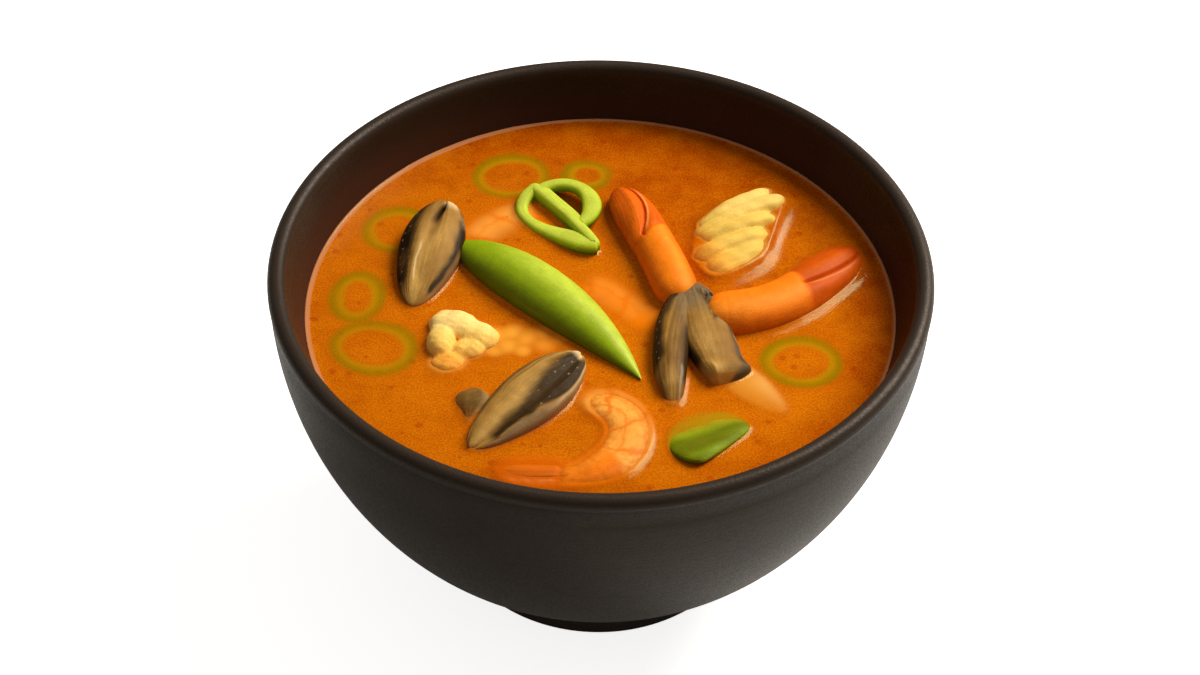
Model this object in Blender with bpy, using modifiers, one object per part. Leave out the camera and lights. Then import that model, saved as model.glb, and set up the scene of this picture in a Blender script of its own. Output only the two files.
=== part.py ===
"""Tom yum soup in its bowl, modelled in millimetres and turned into metres as each mesh is made.

The origin is the middle of the foot's underside, +Z is up and +Y points away from the diner. Every piece
of food is a closed body of its own. The soup is a body too, cut out with a small gap round all that floats
in it.
"""

import math

import bmesh
import bpy
from mathutils import Vector

MM = 0.001
GAP = 0.3

# Bowl
RIM_RADIUS = 70.0
LIP_RADIUS = 1.9
LIP_HEIGHT = 80.7
WALL_RADIUS = 69.8
WALL_TOP = 78.0
WALL_DEPTH = 79.0
HOLLOW_RADIUS = 62.1
HOLLOW_DEPTH = 70.0
FLARE = 4.1
FLARE_START = 62.0
FLARE_END = 81.0
FOOT_RADIUS = 34.9
FOOT_THICKNESS = 6.4
FOOT_HEIGHT = 9.2
FOOT_EDGE = 1.0
FOOT_RECESS = 3.0
TURNED_STEPS = 32

# Soup
SOUP_LEVEL = 69.2

# Onion rings, slices of spring onion whose tops just break the surface
RING_WALL = 1.35
RING_HALF_HEIGHT = 1.1
RING_SHOWS = 0.15
RING_STEPS = (14, 5)

# Green bands: half their thickness
BAND_EDGE = 0.95

# Mushrooms and shrimps: how deep they go below their widest part, as a share of their half width
DEPTH = 0.8

# Shrimps: how much narrower each segment of the shell is at its front edge
SEGMENT_STEP = 0.05


def empty_scene():
    for item in list(bpy.data.objects):
        bpy.data.objects.remove(item, do_unlink=True)


def collection(name):
    made = bpy.data.collections.new(name)
    bpy.context.scene.collection.children.link(made)
    return made


def material(name, colour, roughness):
    made = bpy.data.materials.new(name)
    made.use_nodes = True
    shader = made.node_tree.nodes["Principled BSDF"]
    shader.inputs["Base Color"].default_value = (*colour, 1.0)
    shader.inputs["Roughness"].default_value = roughness
    shader.inputs["Metallic"].default_value = 0.0
    made.diffuse_color = (*colour, 1.0)
    return made


def smooth_step(low, high, value):
    share = min(1.0, max(0.0, (value - low) / (high - low)))
    return share * share * (3.0 - 2.0 * share)


def mesh_object(name, bm, group, finish=None):
    """Makes the object of a bmesh whose places are in millimetres."""
    bmesh.ops.scale(bm, vec=(MM, MM, MM), verts=bm.verts)
    bmesh.ops.recalc_face_normals(bm, faces=bm.faces)
    mesh = bpy.data.meshes.new(name)
    bm.to_mesh(mesh)
    bm.free()
    mesh.shade_smooth()
    mesh.set_sharp_from_angle(angle=math.radians(50))
    made = bpy.data.objects.new(name, mesh)
    group.objects.link(made)
    if finish:
        mesh.materials.append(finish)
    return made


def place(item, start, heading):
    """Stands the piece's own origin over start, at the soup's level, and turns it to its heading."""
    item.location = (start[0] * MM, start[1] * MM, SOUP_LEVEL * MM)
    item.rotation_euler = (0.0, 0.0, math.radians(heading))
    return item


def make_cutter(item, cutters):
    for group in list(item.users_collection):
        group.objects.unlink(item)
    cutters.objects.link(item)
    item.display_type = "WIRE"
    item.hide_render = True
    return item


def boolean(item, other, operation):
    step = item.modifiers.new(f"{operation.lower()}_{other.name}", "BOOLEAN")
    step.operation = operation
    step.object = other
    step.solver = "EXACT"


def grown_copy(item, cutters):
    """A cutter a gap larger all round than the item's own mesh."""
    bpy.context.view_layer.update()
    bm = bmesh.new()
    bm.from_mesh(item.data)
    bm.transform(item.matrix_world)
    bm.normal_update()
    moves = [(corner, corner.normal * GAP * MM) for corner in bm.verts]
    for corner, move in moves:
        corner.co += move
    bmesh.ops.scale(bm, vec=(1 / MM, 1 / MM, 1 / MM), verts=bm.verts)
    return make_cutter(mesh_object(f"room_for_{item.name}", bm, cutters), cutters)


def rooms_for(item, cutters):
    """The room that the item needs: its own body's and that of each body joined to it."""
    joined = [step.object for step in item.modifiers if step.operation == "UNION"]
    return [grown_copy(body, cutters) for body in (item, *joined)]


# The bowl and the soup are turned round the Z axis.


def turned(name, profile, group, finish):
    """A body turned from a profile that runs down its outer side."""
    bm = bmesh.new()
    corners = [bm.verts.new((radius, 0.0, height)) for radius, height in profile]
    for first, second in zip(corners, corners[1:]):
        bm.edges.new((first, second))
    made = mesh_object(name, bm, group, finish)
    screw = made.modifiers.new("turn", "SCREW")
    screw.angle = math.tau
    screw.steps = TURNED_STEPS
    screw.render_steps = TURNED_STEPS
    screw.use_merge_vertices = True
    screw.merge_threshold = 0.00001
    screw.use_smooth_shade = True
    return made


def hollow_profile():
    """The inner wall from the middle of its floor up to the lip: an ellipse that flares near the rim."""
    points = []
    for angle in (0, 20, 38, 54, 68, 80, 90):
        turn = math.radians(angle)
        height = WALL_TOP - HOLLOW_DEPTH * math.cos(turn)
        flare = FLARE * smooth_step(FLARE_START, FLARE_END, height)
        points.append((HOLLOW_RADIUS * math.sin(turn) + flare, height))
    return points


def radius_at(profile, height):
    for (r0, z0), (r1, z1) in zip(profile, profile[1:]):
        if z0 <= height <= z1:
            return r0 + (r1 - r0) * (height - z0) / (z1 - z0)
    raise ValueError("the height is outside the profile")


def bowl_profile():
    lip_middle = RIM_RADIUS - LIP_RADIUS
    lip = []
    for angle in (180, 135, 90, 45, 0, -50):
        turn = math.radians(angle)
        across, up = math.cos(turn), math.sin(turn)
        lip.append((lip_middle + LIP_RADIUS * across, LIP_HEIGHT + LIP_RADIUS * up))
    outer = []
    for angle in (88, 76, 64, 52, 41, 31):
        turn = math.radians(angle)
        outer.append((WALL_RADIUS * math.sin(turn), WALL_TOP - WALL_DEPTH * math.cos(turn)))
    inner_foot = FOOT_RADIUS - FOOT_THICKNESS
    foot = [
        (FOOT_RADIUS, FOOT_HEIGHT - FOOT_EDGE),
        (FOOT_RADIUS, FOOT_EDGE),
        (FOOT_RADIUS - FOOT_EDGE, 0.0),
        (inner_foot + FOOT_EDGE, 0.0),
        (inner_foot, FOOT_EDGE),
        (inner_foot - FOOT_EDGE, FOOT_RECESS),
        (0.0, FOOT_RECESS),
    ]
    return hollow_profile() + lip + outer + foot


def soup_profile():
    wall = [(max(0.0, radius - GAP), height + GAP) for radius, height in hollow_profile()]
    edge = radius_at(wall, SOUP_LEVEL)
    below = [(radius, height) for radius, height in reversed(wall) if height < SOUP_LEVEL - 1.0]
    return [(0.0, SOUP_LEVEL), (edge, SOUP_LEVEL)] + below


# Long pieces of food are lofted through unlike cross-sections along a spine of flat arcs.


def along_arcs(arcs, share):
    """Where the spine is and how it heads, at this share of its whole length. It starts along +X."""
    left = share * sum(length for length, _ in arcs)
    here, heading = Vector((0.0, 0.0)), 0.0
    for length, turn in arcs:
        run = min(left, length)
        bend = math.radians(turn) * run / length
        chord = run * (math.sin(bend / 2) / (bend / 2) if abs(bend) > 1e-6 else 1.0)
        here += chord * Vector((math.cos(heading + bend / 2), math.sin(heading + bend / 2)))
        heading += bend
        left -= run
        if left <= 0:
            break
    return here, heading


def lofted(name, arcs, section, shares, heights, group, finish, around=10):
    """A closed body. section(share, turn) gives across and up from the spine, which rises from the first
    height to the second. The two end shares are single points."""
    bm = bmesh.new()
    rings = []
    for share in shares:
        here, heading = along_arcs(arcs, share)
        rise = heights[0] + (heights[1] - heights[0]) * share
        side = Vector((-math.sin(heading), math.cos(heading)))
        ring = []
        turns = [0.0] if share in (shares[0], shares[-1]) else [math.tau * k / around for k in range(around)]
        for turn in turns:
            across, up = section(share, turn) if len(turns) > 1 else (0.0, 0.0)
            spot = here + side * across
            ring.append(bm.verts.new((spot.x, spot.y, rise + up)))
        rings.append(ring)
    for first, second in zip(rings, rings[1:]):
        for k in range(around):
            corners = [first[k % len(first)], first[(k + 1) % len(first)]]
            corners += [second[(k + 1) % len(second)], second[k % len(second)]]
            unique = list(dict.fromkeys(corners))
            bm.faces.new(unique)
    return mesh_object(name, bm, group, finish)


def rounded_shares(count):
    """Shares that crowd towards both ends, so that the ends come out round."""
    return [(1.0 - math.cos(math.pi * k / count)) / 2 for k in range(count + 1)]


def oval(turn, half_width, above, below):
    height = above if math.sin(turn) >= 0 else below
    return half_width * math.cos(turn), height * math.sin(turn)


def make_pod(group, finish):
    """A plump green pod, fullest towards its stalk end and drawn out to a point at the other."""
    length, half_width, half_height = 58.0, 6.7, 5.0
    fullest = 0.373

    def section(share, turn):
        taper = share**0.55 * (1.0 - share) ** 0.95 / fullest
        return oval(turn, half_width * taper, half_height * taper, half_height * taper)

    pod = lofted("pod", [(length, -24.0)], section, rounded_shares(10), (1.2, 0.6), group, finish)
    return place(pod, (-32.0, 16.7), -32.9)


def egg(skew=0.12):
    """How full an egg-shaped half is at each share of its length. The skew makes its start fuller."""
    return lambda share: math.sin(math.pi * share) ** 0.5 * (1.0 + skew * math.cos(math.pi * share))


def broad_end(share):
    """Narrow at the start and broadest close to the far end."""
    return share**0.35 * (1.0 - share**10) ** 0.5


def mushroom_lobe(name, group, finish, arcs, half_width, above, heights, swell, groove=0.0, around=12):
    """Half of a straw mushroom, cut face up: a low, furrowed crown over a deep skin side. swell(share)
    is how full it is along its length."""

    def section(share, turn):
        size = swell(share)
        across = half_width * size * math.cos(turn)
        if math.sin(turn) < 0:
            return across, DEPTH * half_width * size * math.sin(turn)
        furrow = groove * math.exp(-((math.cos(turn) / 0.3) ** 2))
        return across, above * size * math.sin(turn) ** 0.7 * (1.0 - furrow)

    return lofted(name, arcs, section, rounded_shares(7), heights, group, finish, around)


def make_mushrooms(group, cutters, finish):
    plain, blunt = egg(), egg(0.5)
    arcs, heights = [(31.5, 0.0)], (3.6, 0.4)
    left = mushroom_lobe("mushroom_left", group, finish, arcs, 6.9, 3.0, heights, plain, groove=0.4)
    place(left, (-34.7, 28.4), -99.9)
    arcs, heights = [(33.0, 0.0)], (2.8, 0.2)
    front = mushroom_lobe("mushroom_front", group, finish, arcs, 6.6, 3.0, heights, plain, groove=0.1)
    place(front, (-3.9, -19.2), -131.5)

    # The right one was cut so that a narrow lobe parts from its broad face. Its stalk runs under the soup.
    arcs, heights = [(29.5, 6.0)], (3.0, 0.6)
    right = mushroom_lobe("mushroom_right", group, finish, arcs, 6.2, 3.2, heights, broad_end)
    place(right, (19.4, 3.8), -82.0)
    arcs, heights = [(34.5, 26.0)], (2.8, 0.4)
    narrow = mushroom_lobe("narrow_lobe", cutters, finish, arcs, 4.1, 2.8, heights, plain, groove=0.2)
    place(narrow, (18.2, 2.6), -107.0)
    arcs, heights = [(21.0, 0.0)], (-0.4, -1.3)
    stalk = mushroom_lobe("stalk", cutters, finish, arcs, 4.2, 1.2, heights, plain)
    place(stalk, (24.2, -17.5), -48.0)
    for lobe in (narrow, stalk):
        make_cutter(lobe, cutters)
        boolean(right, lobe, "UNION")

    arcs, heights = [(9.4, 0.0)], (0.7, -0.1)
    chip = mushroom_lobe("mushroom_chip", group, finish, arcs, 3.1, 1.7, heights, blunt, around=10)
    place(chip, (-25.4, -27.2), -97.0)
    return [left, front, right, chip]


def make_shrimp(group, finish, name, start, heading, arcs, tail, width, fan, above, heights, segments):
    """A peeled shrimp from the tip of its tail fan to the cut at its head end. The shell's rings show as
    steps, each a little wider at its rear edge. A furrow runs down the two blades of the fan."""
    length = sum(run for run, _ in arcs)
    joint = tail / length
    rings_at = [k / segments for k in range(segments)]
    shares = [0.0] + [joint * step for step in (0.1, 0.3, 0.55, 0.8, 1.0)] if tail else [0.0, 0.04]
    for step in rings_at:
        shares += [joint + (1 - joint) * (step + 0.03), joint + (1 - joint) * (step + 0.17)]
    shares += [joint + (1 - joint) * 0.995, 1.0]

    def swell(share):
        if share <= joint:
            ahead = 1.0 - share / joint
            return fan * (1.0 - 0.55 * ahead**4) * (1.0 - ahead**12) ** 0.5
        run = (share - joint) / (1 - joint)
        step = (run * segments) % 1.0
        start_round = 1.0 if tail else min(1.0, (run / 0.15 + 0.15)) ** 0.5
        stepped = 1.0 - SEGMENT_STEP * step
        return (0.92 + 0.04 * run) * stepped * (1.0 - run**10) ** 0.5 * start_round

    def section(share, turn):
        size = swell(share) * width / 2
        up = above * size
        if share <= joint and math.sin(turn) > 0:
            up *= 0.8 - 0.25 * math.exp(-((math.cos(turn) / 0.25) ** 2))
        return oval(turn, size, up, DEPTH * size)

    made = lofted(name, arcs, section, sorted(shares), heights, group, finish)
    return place(made, start, heading)


def make_shrimps(group, finish):
    """Each has its tail's tip, its heading there, the arcs of its spine, the tail's length, its width,
    the fan's width and the crown's height as shares of that, the spine's heights at the two ends and the
    number of its shell's segments."""
    curl = [(15.0, 6.0), (19.0, 86.0), (15.5, 112.0)]
    bend = [(20.5, -8.0), (23.0, -50.0)]
    shrimps = [
        ("shrimp_centre", (3.2, 35.4), -62.0, [(39.5, -14.0)], 18.5, 10.4, 0.95, 0.84, (2.0, 1.6), 5),
        ("shrimp_right", (56.2, 18.6), -127.0, bend, 20.0, 12.6, 0.95, 0.84, (-0.8, 1.2), 5),
        ("shrimp_front", (-22.0, -49.3), -8.0, curl, 15.0, 12.0, 0.74, 0.55, (-0.9, -1.3), 5),
        ("shrimp_back", (-28.6, 19.4), 62.0, [(18.5, -50.0)], 0.0, 13.0, 1.0, 0.6, (-2.4, -2.2), 3),
        ("shrimp_middle", (-4.0, 8.2), -38.0, [(24.0, -12.0)], 0.0, 12.2, 1.0, 0.6, (-2.2, -2.2), 3),
    ]
    return [make_shrimp(group, finish, *measures) for measures in shrimps]


# Lobed pieces are ellipsoids joined into one body.


def ellipsoid(name, group, finish, centre, radii, heading=0.0, bluntness=1.0):
    """Below 1, the bluntness fills out the two ends, as on a finger."""
    bm = bmesh.new()
    bmesh.ops.create_uvsphere(bm, u_segments=8, v_segments=6, radius=1.0)
    for corner in bm.verts:
        corner.co = Vector((corner.co.z, corner.co.x, corner.co.y))
        corner.co.x = math.copysign(abs(corner.co.x) ** bluntness, corner.co.x)
    bmesh.ops.scale(bm, vec=radii, verts=bm.verts)
    made = mesh_object(name, bm, group, finish)
    place(made, centre, heading)
    made.location.z += centre[2] * MM
    return made


def joined_lobes(name, lobes, group, cutters, finish, bluntness=1.0):
    """lobes are (centre, radii, heading). The first one carries the others."""
    first = None
    for number, (centre, radii, heading) in enumerate(lobes):
        if first is None:
            first = ellipsoid(name, group, finish, centre, radii, heading, bluntness)
            continue
        lobe = ellipsoid(f"{name}_lobe_{number}", cutters, finish, centre, radii, heading, bluntness)
        boolean(first, make_cutter(lobe, cutters), "UNION")
    return first


def make_pale_lump(group, cutters, finish):
    lobes = [
        ((-31.0, -8.4, 0.2), (5.4, 4.2, 3.2), -10),
        ((-25.8, -11.2, 0.0), (5.0, 3.9, 2.9), -20),
        ((-33.4, -13.2, 0.0), (3.2, 5.0, 3.2), 0),
        ((-27.6, -15.4, -0.6), (3.8, 3.2, 2.8), 20),
        ((-31.6, -18.8, -1.4), (4.4, 3.6, 2.8), 10),
    ]
    return joined_lobes("pale_lump", lobes, group, cutters, finish)


def make_pale_bundle(group, cutters, finish):
    """A sheaf of finger-like lobes in two layers, fanned a little about its own heading."""
    heading, middle = 33.0, Vector((29.5, 22.5))
    fingers = [
        (4.2, 6.2, 0.6, 10.8, 2.7, 7),
        (3.8, 3.2, 1.1, 12.4, 2.9, 1),
        (1.2, 0.2, 0.8, 9.6, 2.7, -6),
        (-3.6, -3.7, 0.6, 9.8, 3.5, -2),
        (-5.0, -7.4, 0.1, 8.8, 3.5, 6),
    ]
    lobes = []
    turn = math.radians(heading)
    for ahead, aside, up, half_length, half_width, fan in fingers:
        x = middle.x + ahead * math.cos(turn) - aside * math.sin(turn)
        y = middle.y + ahead * math.sin(turn) + aside * math.cos(turn)
        lobes.append(((x, y, up), (half_length, half_width, 3.2), heading + fan))
    return joined_lobes("pale_bundle", lobes, group, cutters, finish, bluntness=0.7)


# Sliced greens


def band_loop(name, group, finish, centre, radii, heading, lift, half_height, slope, steps):
    """A closed band standing on its edge, as long as twice the first radius. It is bowed by the second
    radius on its left and by the third on its right, and its left stands higher by the slope. steps are
    how many straight runs each bow has."""
    curve = bpy.data.curves.new(name, "CURVE")
    curve.dimensions = "3D"
    curve.twist_mode = "Z_UP"
    curve.extrude = (half_height - BAND_EDGE) * MM
    curve.bevel_depth = BAND_EDGE * MM
    curve.bevel_resolution = 0
    spline = curve.splines.new("POLY")
    turns = [math.pi * k / steps[0] for k in range(steps[0])]
    turns += [math.pi * (1 + k / steps[1]) for k in range(steps[1])]
    spline.points.add(len(turns) - 1)
    for turn, point in zip(turns, spline.points):
        across = math.sin(turn) * (radii[1] if math.sin(turn) > 0 else radii[2])
        point.co = (radii[0] * math.cos(turn) * MM, across * MM, slope * across * MM, 1.0)
    spline.use_cyclic_u = True
    guide = bpy.data.objects.new(f"{name}_guide", curve)
    group.objects.link(guide)
    bpy.context.view_layer.update()
    mesh = bpy.data.meshes.new_from_object(guide.evaluated_get(bpy.context.evaluated_depsgraph_get()))
    bpy.data.objects.remove(guide)
    bm = bmesh.new()
    bm.from_mesh(mesh)
    bpy.data.meshes.remove(mesh)
    bmesh.ops.remove_doubles(bm, verts=bm.verts, dist=0.001 * MM)
    bmesh.ops.scale(bm, vec=(1 / MM, 1 / MM, 1 / MM), verts=bm.verts)
    made = mesh_object(name, bm, group, finish)
    place(made, centre, heading)
    made.location.z += lift * MM
    return made


def make_loops(group, finish):
    """A low loop with one long raised side, and a high one that springs from that side and comes back
    to it. Each has its middle, its three radii, heading, lift, half height, slope and steps."""
    loops = [
        ("green_loop_low", (-8.4, 26.2), (11.3, 0.6, 5.9), -53.5, 1.2, 1.8, 0.25, (4, 10)),
        ("green_loop_high", (-9.4, 29.2), (7.4, 7.0, -0.3), -52.5, 1.6, 1.4, 0.15, (10, 4)),
    ]
    return [band_loop(name, group, finish, *measures) for name, *measures in loops]


def make_onion_rings(group, finish):
    """Each is an oval ring: its middle, its two outer radii and the heading of the first."""
    rings = [
        ((-20.8, 41.9), (9.2, 8.2), 8),
        ((-3.5, 42.7), (6.0, 5.6), 0),
        ((-45.3, 22.6), (8.0, 8.0), 0),
        ((-52.2, 0.5), (6.1, 8.2), 0),
        ((-47.4, -15.0), (9.6, 8.3), -17.5),
        ((42.1, -17.3), (8.8, 7.8), 0),
    ]
    made = []
    for number, (centre, radii, heading) in enumerate(rings, 1):
        bpy.ops.mesh.primitive_torus_add(
            major_segments=RING_STEPS[0],
            minor_segments=RING_STEPS[1],
            major_radius=1.0,
            minor_radius=0.25,
        )
        torus = bpy.context.object
        bm = bmesh.new()
        bm.from_mesh(torus.data)
        bpy.data.objects.remove(torus)
        for corner in bm.verts:
            round_way = Vector((corner.co.x, corner.co.y))
            off = (round_way.length - 1.0) / 0.25
            outward = round_way.normalized()
            middle_radius = [radius - RING_WALL for radius in radii]
            corner.co.x = outward.x * (middle_radius[0] + off * RING_WALL)
            corner.co.y = outward.y * (middle_radius[1] + off * RING_WALL)
            corner.co.z *= RING_HALF_HEIGHT / 0.25
        ring = mesh_object(f"onion_ring_{number}", bm, group, finish)
        place(ring, centre, heading)
        highest = max((corner.co.z for corner in ring.data.vertices))
        ring.location.z += RING_SHOWS * MM - highest
        made.append(ring)
    return made


def make_leaf_wedge(group, finish):
    """A flat oval slice of leaf with one side cut straight. It is tipped, so that one side dips under."""
    radii, cut, cut_turn = (9.0, 7.8, 1.3), 4.3, math.radians(-67.2)
    outward = Vector((math.cos(cut_turn), math.sin(cut_turn), 0.0))
    bm = bmesh.new()
    bmesh.ops.create_uvsphere(bm, u_segments=16, v_segments=6, radius=1.0)
    bmesh.ops.scale(bm, vec=radii, verts=bm.verts)
    whole = bm.verts[:] + bm.edges[:] + bm.faces[:]
    place_of_cut = {"plane_co": outward * cut, "plane_no": outward}
    parted = bmesh.ops.bisect_plane(bm, geom=whole, clear_outer=True, **place_of_cut)
    open_edges = [item for item in parted["geom_cut"] if isinstance(item, bmesh.types.BMEdge)]
    bmesh.ops.contextual_create(bm, geom=open_edges)
    wedge = mesh_object("leaf_wedge", bm, group, finish)
    place(wedge, (22.6, -40.0), 23.3)
    wedge.rotation_euler.x = math.radians(-11.0)
    return wedge


def main():
    empty_scene()
    food = collection("tom_yum_soup")
    cutters = collection("cutters")
    dark_glaze = material("dark_glaze", (0.016, 0.011, 0.008), 0.42)
    broth = material("broth", (0.62, 0.16, 0.006), 0.3)
    pod_skin = material("pod_skin", (0.20, 0.36, 0.004), 0.25)
    mushroom = material("mushroom", (0.30, 0.19, 0.08), 0.35)
    shrimp = material("shrimp", (0.85, 0.20, 0.01), 0.3)
    pale = material("pale_bite", (0.85, 0.62, 0.16), 0.4)
    greens = material("sliced_greens", (0.32, 0.45, 0.03), 0.3)

    turned("bowl", bowl_profile(), food, dark_glaze)
    soup = turned("soup", soup_profile(), food, broth)

    pod = make_pod(food, pod_skin)
    mushrooms = make_mushrooms(food, cutters, mushroom)
    left_mushroom, front_mushroom, right_mushroom, chip = mushrooms
    loops = make_loops(food, greens)
    lump = make_pale_lump(food, cutters, pale)
    bundle = make_pale_bundle(food, cutters, pale)
    wedge = make_leaf_wedge(food, greens)
    shrimps = make_shrimps(food, shrimp)
    rings = make_onion_rings(food, greens)

    # Where pieces press together, the later one in this order gives way to the ones before it.
    stack = [left_mushroom, front_mushroom, right_mushroom, pod, *loops, lump, bundle, wedge]
    stack += [chip, *shrimps, rings[4], *rings[:4], rings[5]]
    placed = []
    for item in stack:
        for room in placed:
            if boxes_meet(item, room):
                boolean(item, room, "DIFFERENCE")
        placed += rooms_for(item, cutters)
    for room in placed:
        boolean(soup, room, "DIFFERENCE")


def boxes_meet(first, second):
    bpy.context.view_layer.update()
    boxes = []
    for item in (first, second):
        corners = [item.matrix_world @ Vector(corner) for corner in item.bound_box]
        boxes.append([(min(c[k] for c in corners), max(c[k] for c in corners)) for k in range(3)])
    margin = GAP * MM
    return all(a[0] < b[1] + margin and b[0] < a[1] + margin for a, b in zip(*boxes))


main()
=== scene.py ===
"""Tom yum soup in its dark bowl: the broth's surface, everything that floats in it and what lies under it.

Measures are in millimetres and turned into metres as each mesh is made. The CAD solids say where every piece
goes: each detailed piece is made from the same measures as its solid, and some are then seated on the solid's
box.
"""

import math

import bmesh
import bpy
import numpy as np
from mathutils import Matrix, Vector
from mathutils.bvhtree import BVHTree


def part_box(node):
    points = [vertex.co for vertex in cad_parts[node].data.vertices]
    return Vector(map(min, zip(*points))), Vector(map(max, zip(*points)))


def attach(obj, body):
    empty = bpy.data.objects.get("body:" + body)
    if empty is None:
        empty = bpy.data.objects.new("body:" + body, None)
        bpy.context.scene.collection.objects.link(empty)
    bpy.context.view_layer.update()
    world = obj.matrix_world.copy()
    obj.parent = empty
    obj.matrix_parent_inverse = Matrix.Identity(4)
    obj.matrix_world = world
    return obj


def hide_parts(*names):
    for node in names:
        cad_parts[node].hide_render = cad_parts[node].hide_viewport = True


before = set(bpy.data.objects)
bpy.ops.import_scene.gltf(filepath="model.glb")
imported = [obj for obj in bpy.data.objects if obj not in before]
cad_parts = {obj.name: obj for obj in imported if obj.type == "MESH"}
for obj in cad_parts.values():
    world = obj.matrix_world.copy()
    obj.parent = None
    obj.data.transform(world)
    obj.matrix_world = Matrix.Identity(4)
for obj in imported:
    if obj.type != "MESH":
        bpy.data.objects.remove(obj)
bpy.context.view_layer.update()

MM = 0.001

# Bowl, the same measures as its solid
RIM_RADIUS = 70.0
LIP_RADIUS = 1.9
LIP_HEIGHT = 80.7
WALL_RADIUS = 69.8
WALL_TOP = 78.0
WALL_DEPTH = 79.0
HOLLOW_RADIUS = 62.1
HOLLOW_DEPTH = 70.0
FLARE = 4.1
FLARE_START = 62.0
FLARE_END = 81.0
FOOT_RADIUS = 34.9
FOOT_THICKNESS = 6.4
FOOT_HEIGHT = 9.2
FOOT_EDGE = 1.0
FOOT_RECESS = 3.0
TURNED_STEPS = 160

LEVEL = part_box("soup")[1].z / MM

# How the broth climbs what it wets, and how far one sees into it
WALL_CLIMB = 0.55
WALL_REACH = 0.75
CLIMB_WINDOW = 5.0
JOINING = 3.0
CLARITY = 1.0
SIGHT_LINES = [
    (0.0, 0.0, -1.0),
    (0.35, 0.1, -1.0),
    (-0.2, 0.3, -1.0),
    (-0.15, -0.35, -1.0),
    (0.1, -0.2, -1.0),
]
FAR = 9.0

# How many rows the broth's surface has before it is made finer within these distances of the pieces
BROTH_ROWS = 108
FINER_WITHIN = (3.0, 1.2)


def srgb(red, green, blue):
    """A linear colour from display values of 0 to 255."""
    shares = np.array([red, green, blue]) / 255.0
    return np.where(shares <= 0.04045, shares / 12.92, ((shares + 0.055) / 1.055) ** 2.4)


BROTH = srgb(200, 102, 3)
BROTH_DEEP_AND_SHADE = srgb(160, 64, 0)
BROTH_BRIGHT = srgb(222, 130, 10)
CHILLI = srgb(150, 30, 2)
POD_GREEN = srgb(138, 162, 6)
POD_SHADE = srgb(88, 106, 0)
POD_HIGHLIGHT = srgb(190, 206, 62)
FLESH = srgb(170, 124, 54)
FLESH_PALE = srgb(204, 160, 88)
FLESH_DARK_AND_SHADE = srgb(116, 80, 34)
CREAM_AND_HIGHLIGHT = srgb(232, 204, 152)
SKIN_AND_SHADE = srgb(36, 22, 9)
SKIN_MID = srgb(84, 56, 26)
SKIN_THIN = srgb(136, 110, 78)
SKIN_SPOT = srgb(206, 180, 146)
RIM_SKIN_AND_HIGHLIGHT = srgb(172, 128, 80)
SHRIMP = srgb(246, 130, 12)
SHRIMP_LIT_SIDE = srgb(255, 150, 42)
SHRIMP_DEEP_AND_SHADE = srgb(222, 98, 4)
SHRIMP_RED = srgb(200, 66, 2)
SHRIMP_PALE = srgb(255, 176, 74)
TAIL = srgb(224, 98, 4)
TAIL_LIGHT = srgb(238, 122, 14)
TAIL_DARK = srgb(206, 80, 6)
TAIL_GROOVE_HIGHLIGHT = srgb(255, 168, 90)
TAIL_TIP = srgb(168, 52, 2)
PALE = srgb(226, 186, 84)
PALE_LIGHT = srgb(234, 202, 116)
PALE_WARM = srgb(240, 160, 44)
LUMP = srgb(255, 206, 102)
LUMP_LIGHT = srgb(255, 222, 138)
GREEN_TOP = srgb(176, 196, 34)
GREEN_SHADED_SIDE = srgb(84, 118, 2)
GREEN_INNER = srgb(204, 210, 84)
RING_EDGE = srgb(98, 118, 0)
RING_INSIDE = srgb(166, 146, 6)
LEAF = srgb(104, 110, 0)


# Shares and curves


def step(low, high, value):
    share = np.clip((value - low) / (high - low), 0.0, 1.0)
    return share * share * (3.0 - 2.0 * share)


def bell(value, middle, width):
    return np.exp(-(((value - middle) / width) ** 2))


def between(low, high, soft, value):
    """1 between low and high, falling to 0 over the soft width outside them."""
    return step(low - soft, low, value) * (1.0 - step(high, high + soft, value))


def mix(first, second, share):
    share = np.asarray(share)[..., None]
    return np.asarray(first) * (1.0 - share) + np.asarray(second) * share


def drift(seed, x, y, count=6):
    """Smooth irregular waves of about -1 to 1 over x and y."""
    dice = np.random.default_rng(seed)
    total = np.zeros(np.broadcast(x, y).shape)
    for _ in range(count):
        along, across = dice.normal(size=2)
        total = total + np.sin(along * x + across * y + dice.uniform(0, math.tau))
    return total / count**0.5 * 0.8


def mottle(seed, x, y):
    """Blotches: broad waves with finer ones on them."""
    finer = 0.5 * drift(seed + 500, 2.3 * x, 2.3 * y) + 0.3 * drift(seed + 900, 5.1 * x, 5.1 * y)
    return 0.8 * (drift(seed, x, y) + finer)


def flecks(seed, x, y, spacing, size):
    """Small round flecks, one in each cell of a loose pattern, from 0 to 1."""
    table = np.random.default_rng(seed).uniform(size=(64, 64, 3))
    column, row = np.floor(x / spacing).astype(int), np.floor(y / spacing).astype(int)
    cell = table[column % 64, row % 64]
    beside = x / spacing - column - 0.3 - 0.4 * cell[..., 0]
    ahead = y / spacing - row - 0.3 - 0.4 * cell[..., 1]
    reach = size / spacing * (0.3 + cell[..., 2])
    return 1.0 - step(0.5, 1.0, np.hypot(beside, ahead) / reach)


# Meshes


def finished(name, mesh, finish, node=None):
    piece = bpy.data.objects.new(name, mesh)
    bpy.context.scene.collection.objects.link(piece)
    mesh.materials.append(finish)
    mesh.shade_smooth()
    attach(piece, "root")
    if node:
        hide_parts(node)
    return piece


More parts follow.
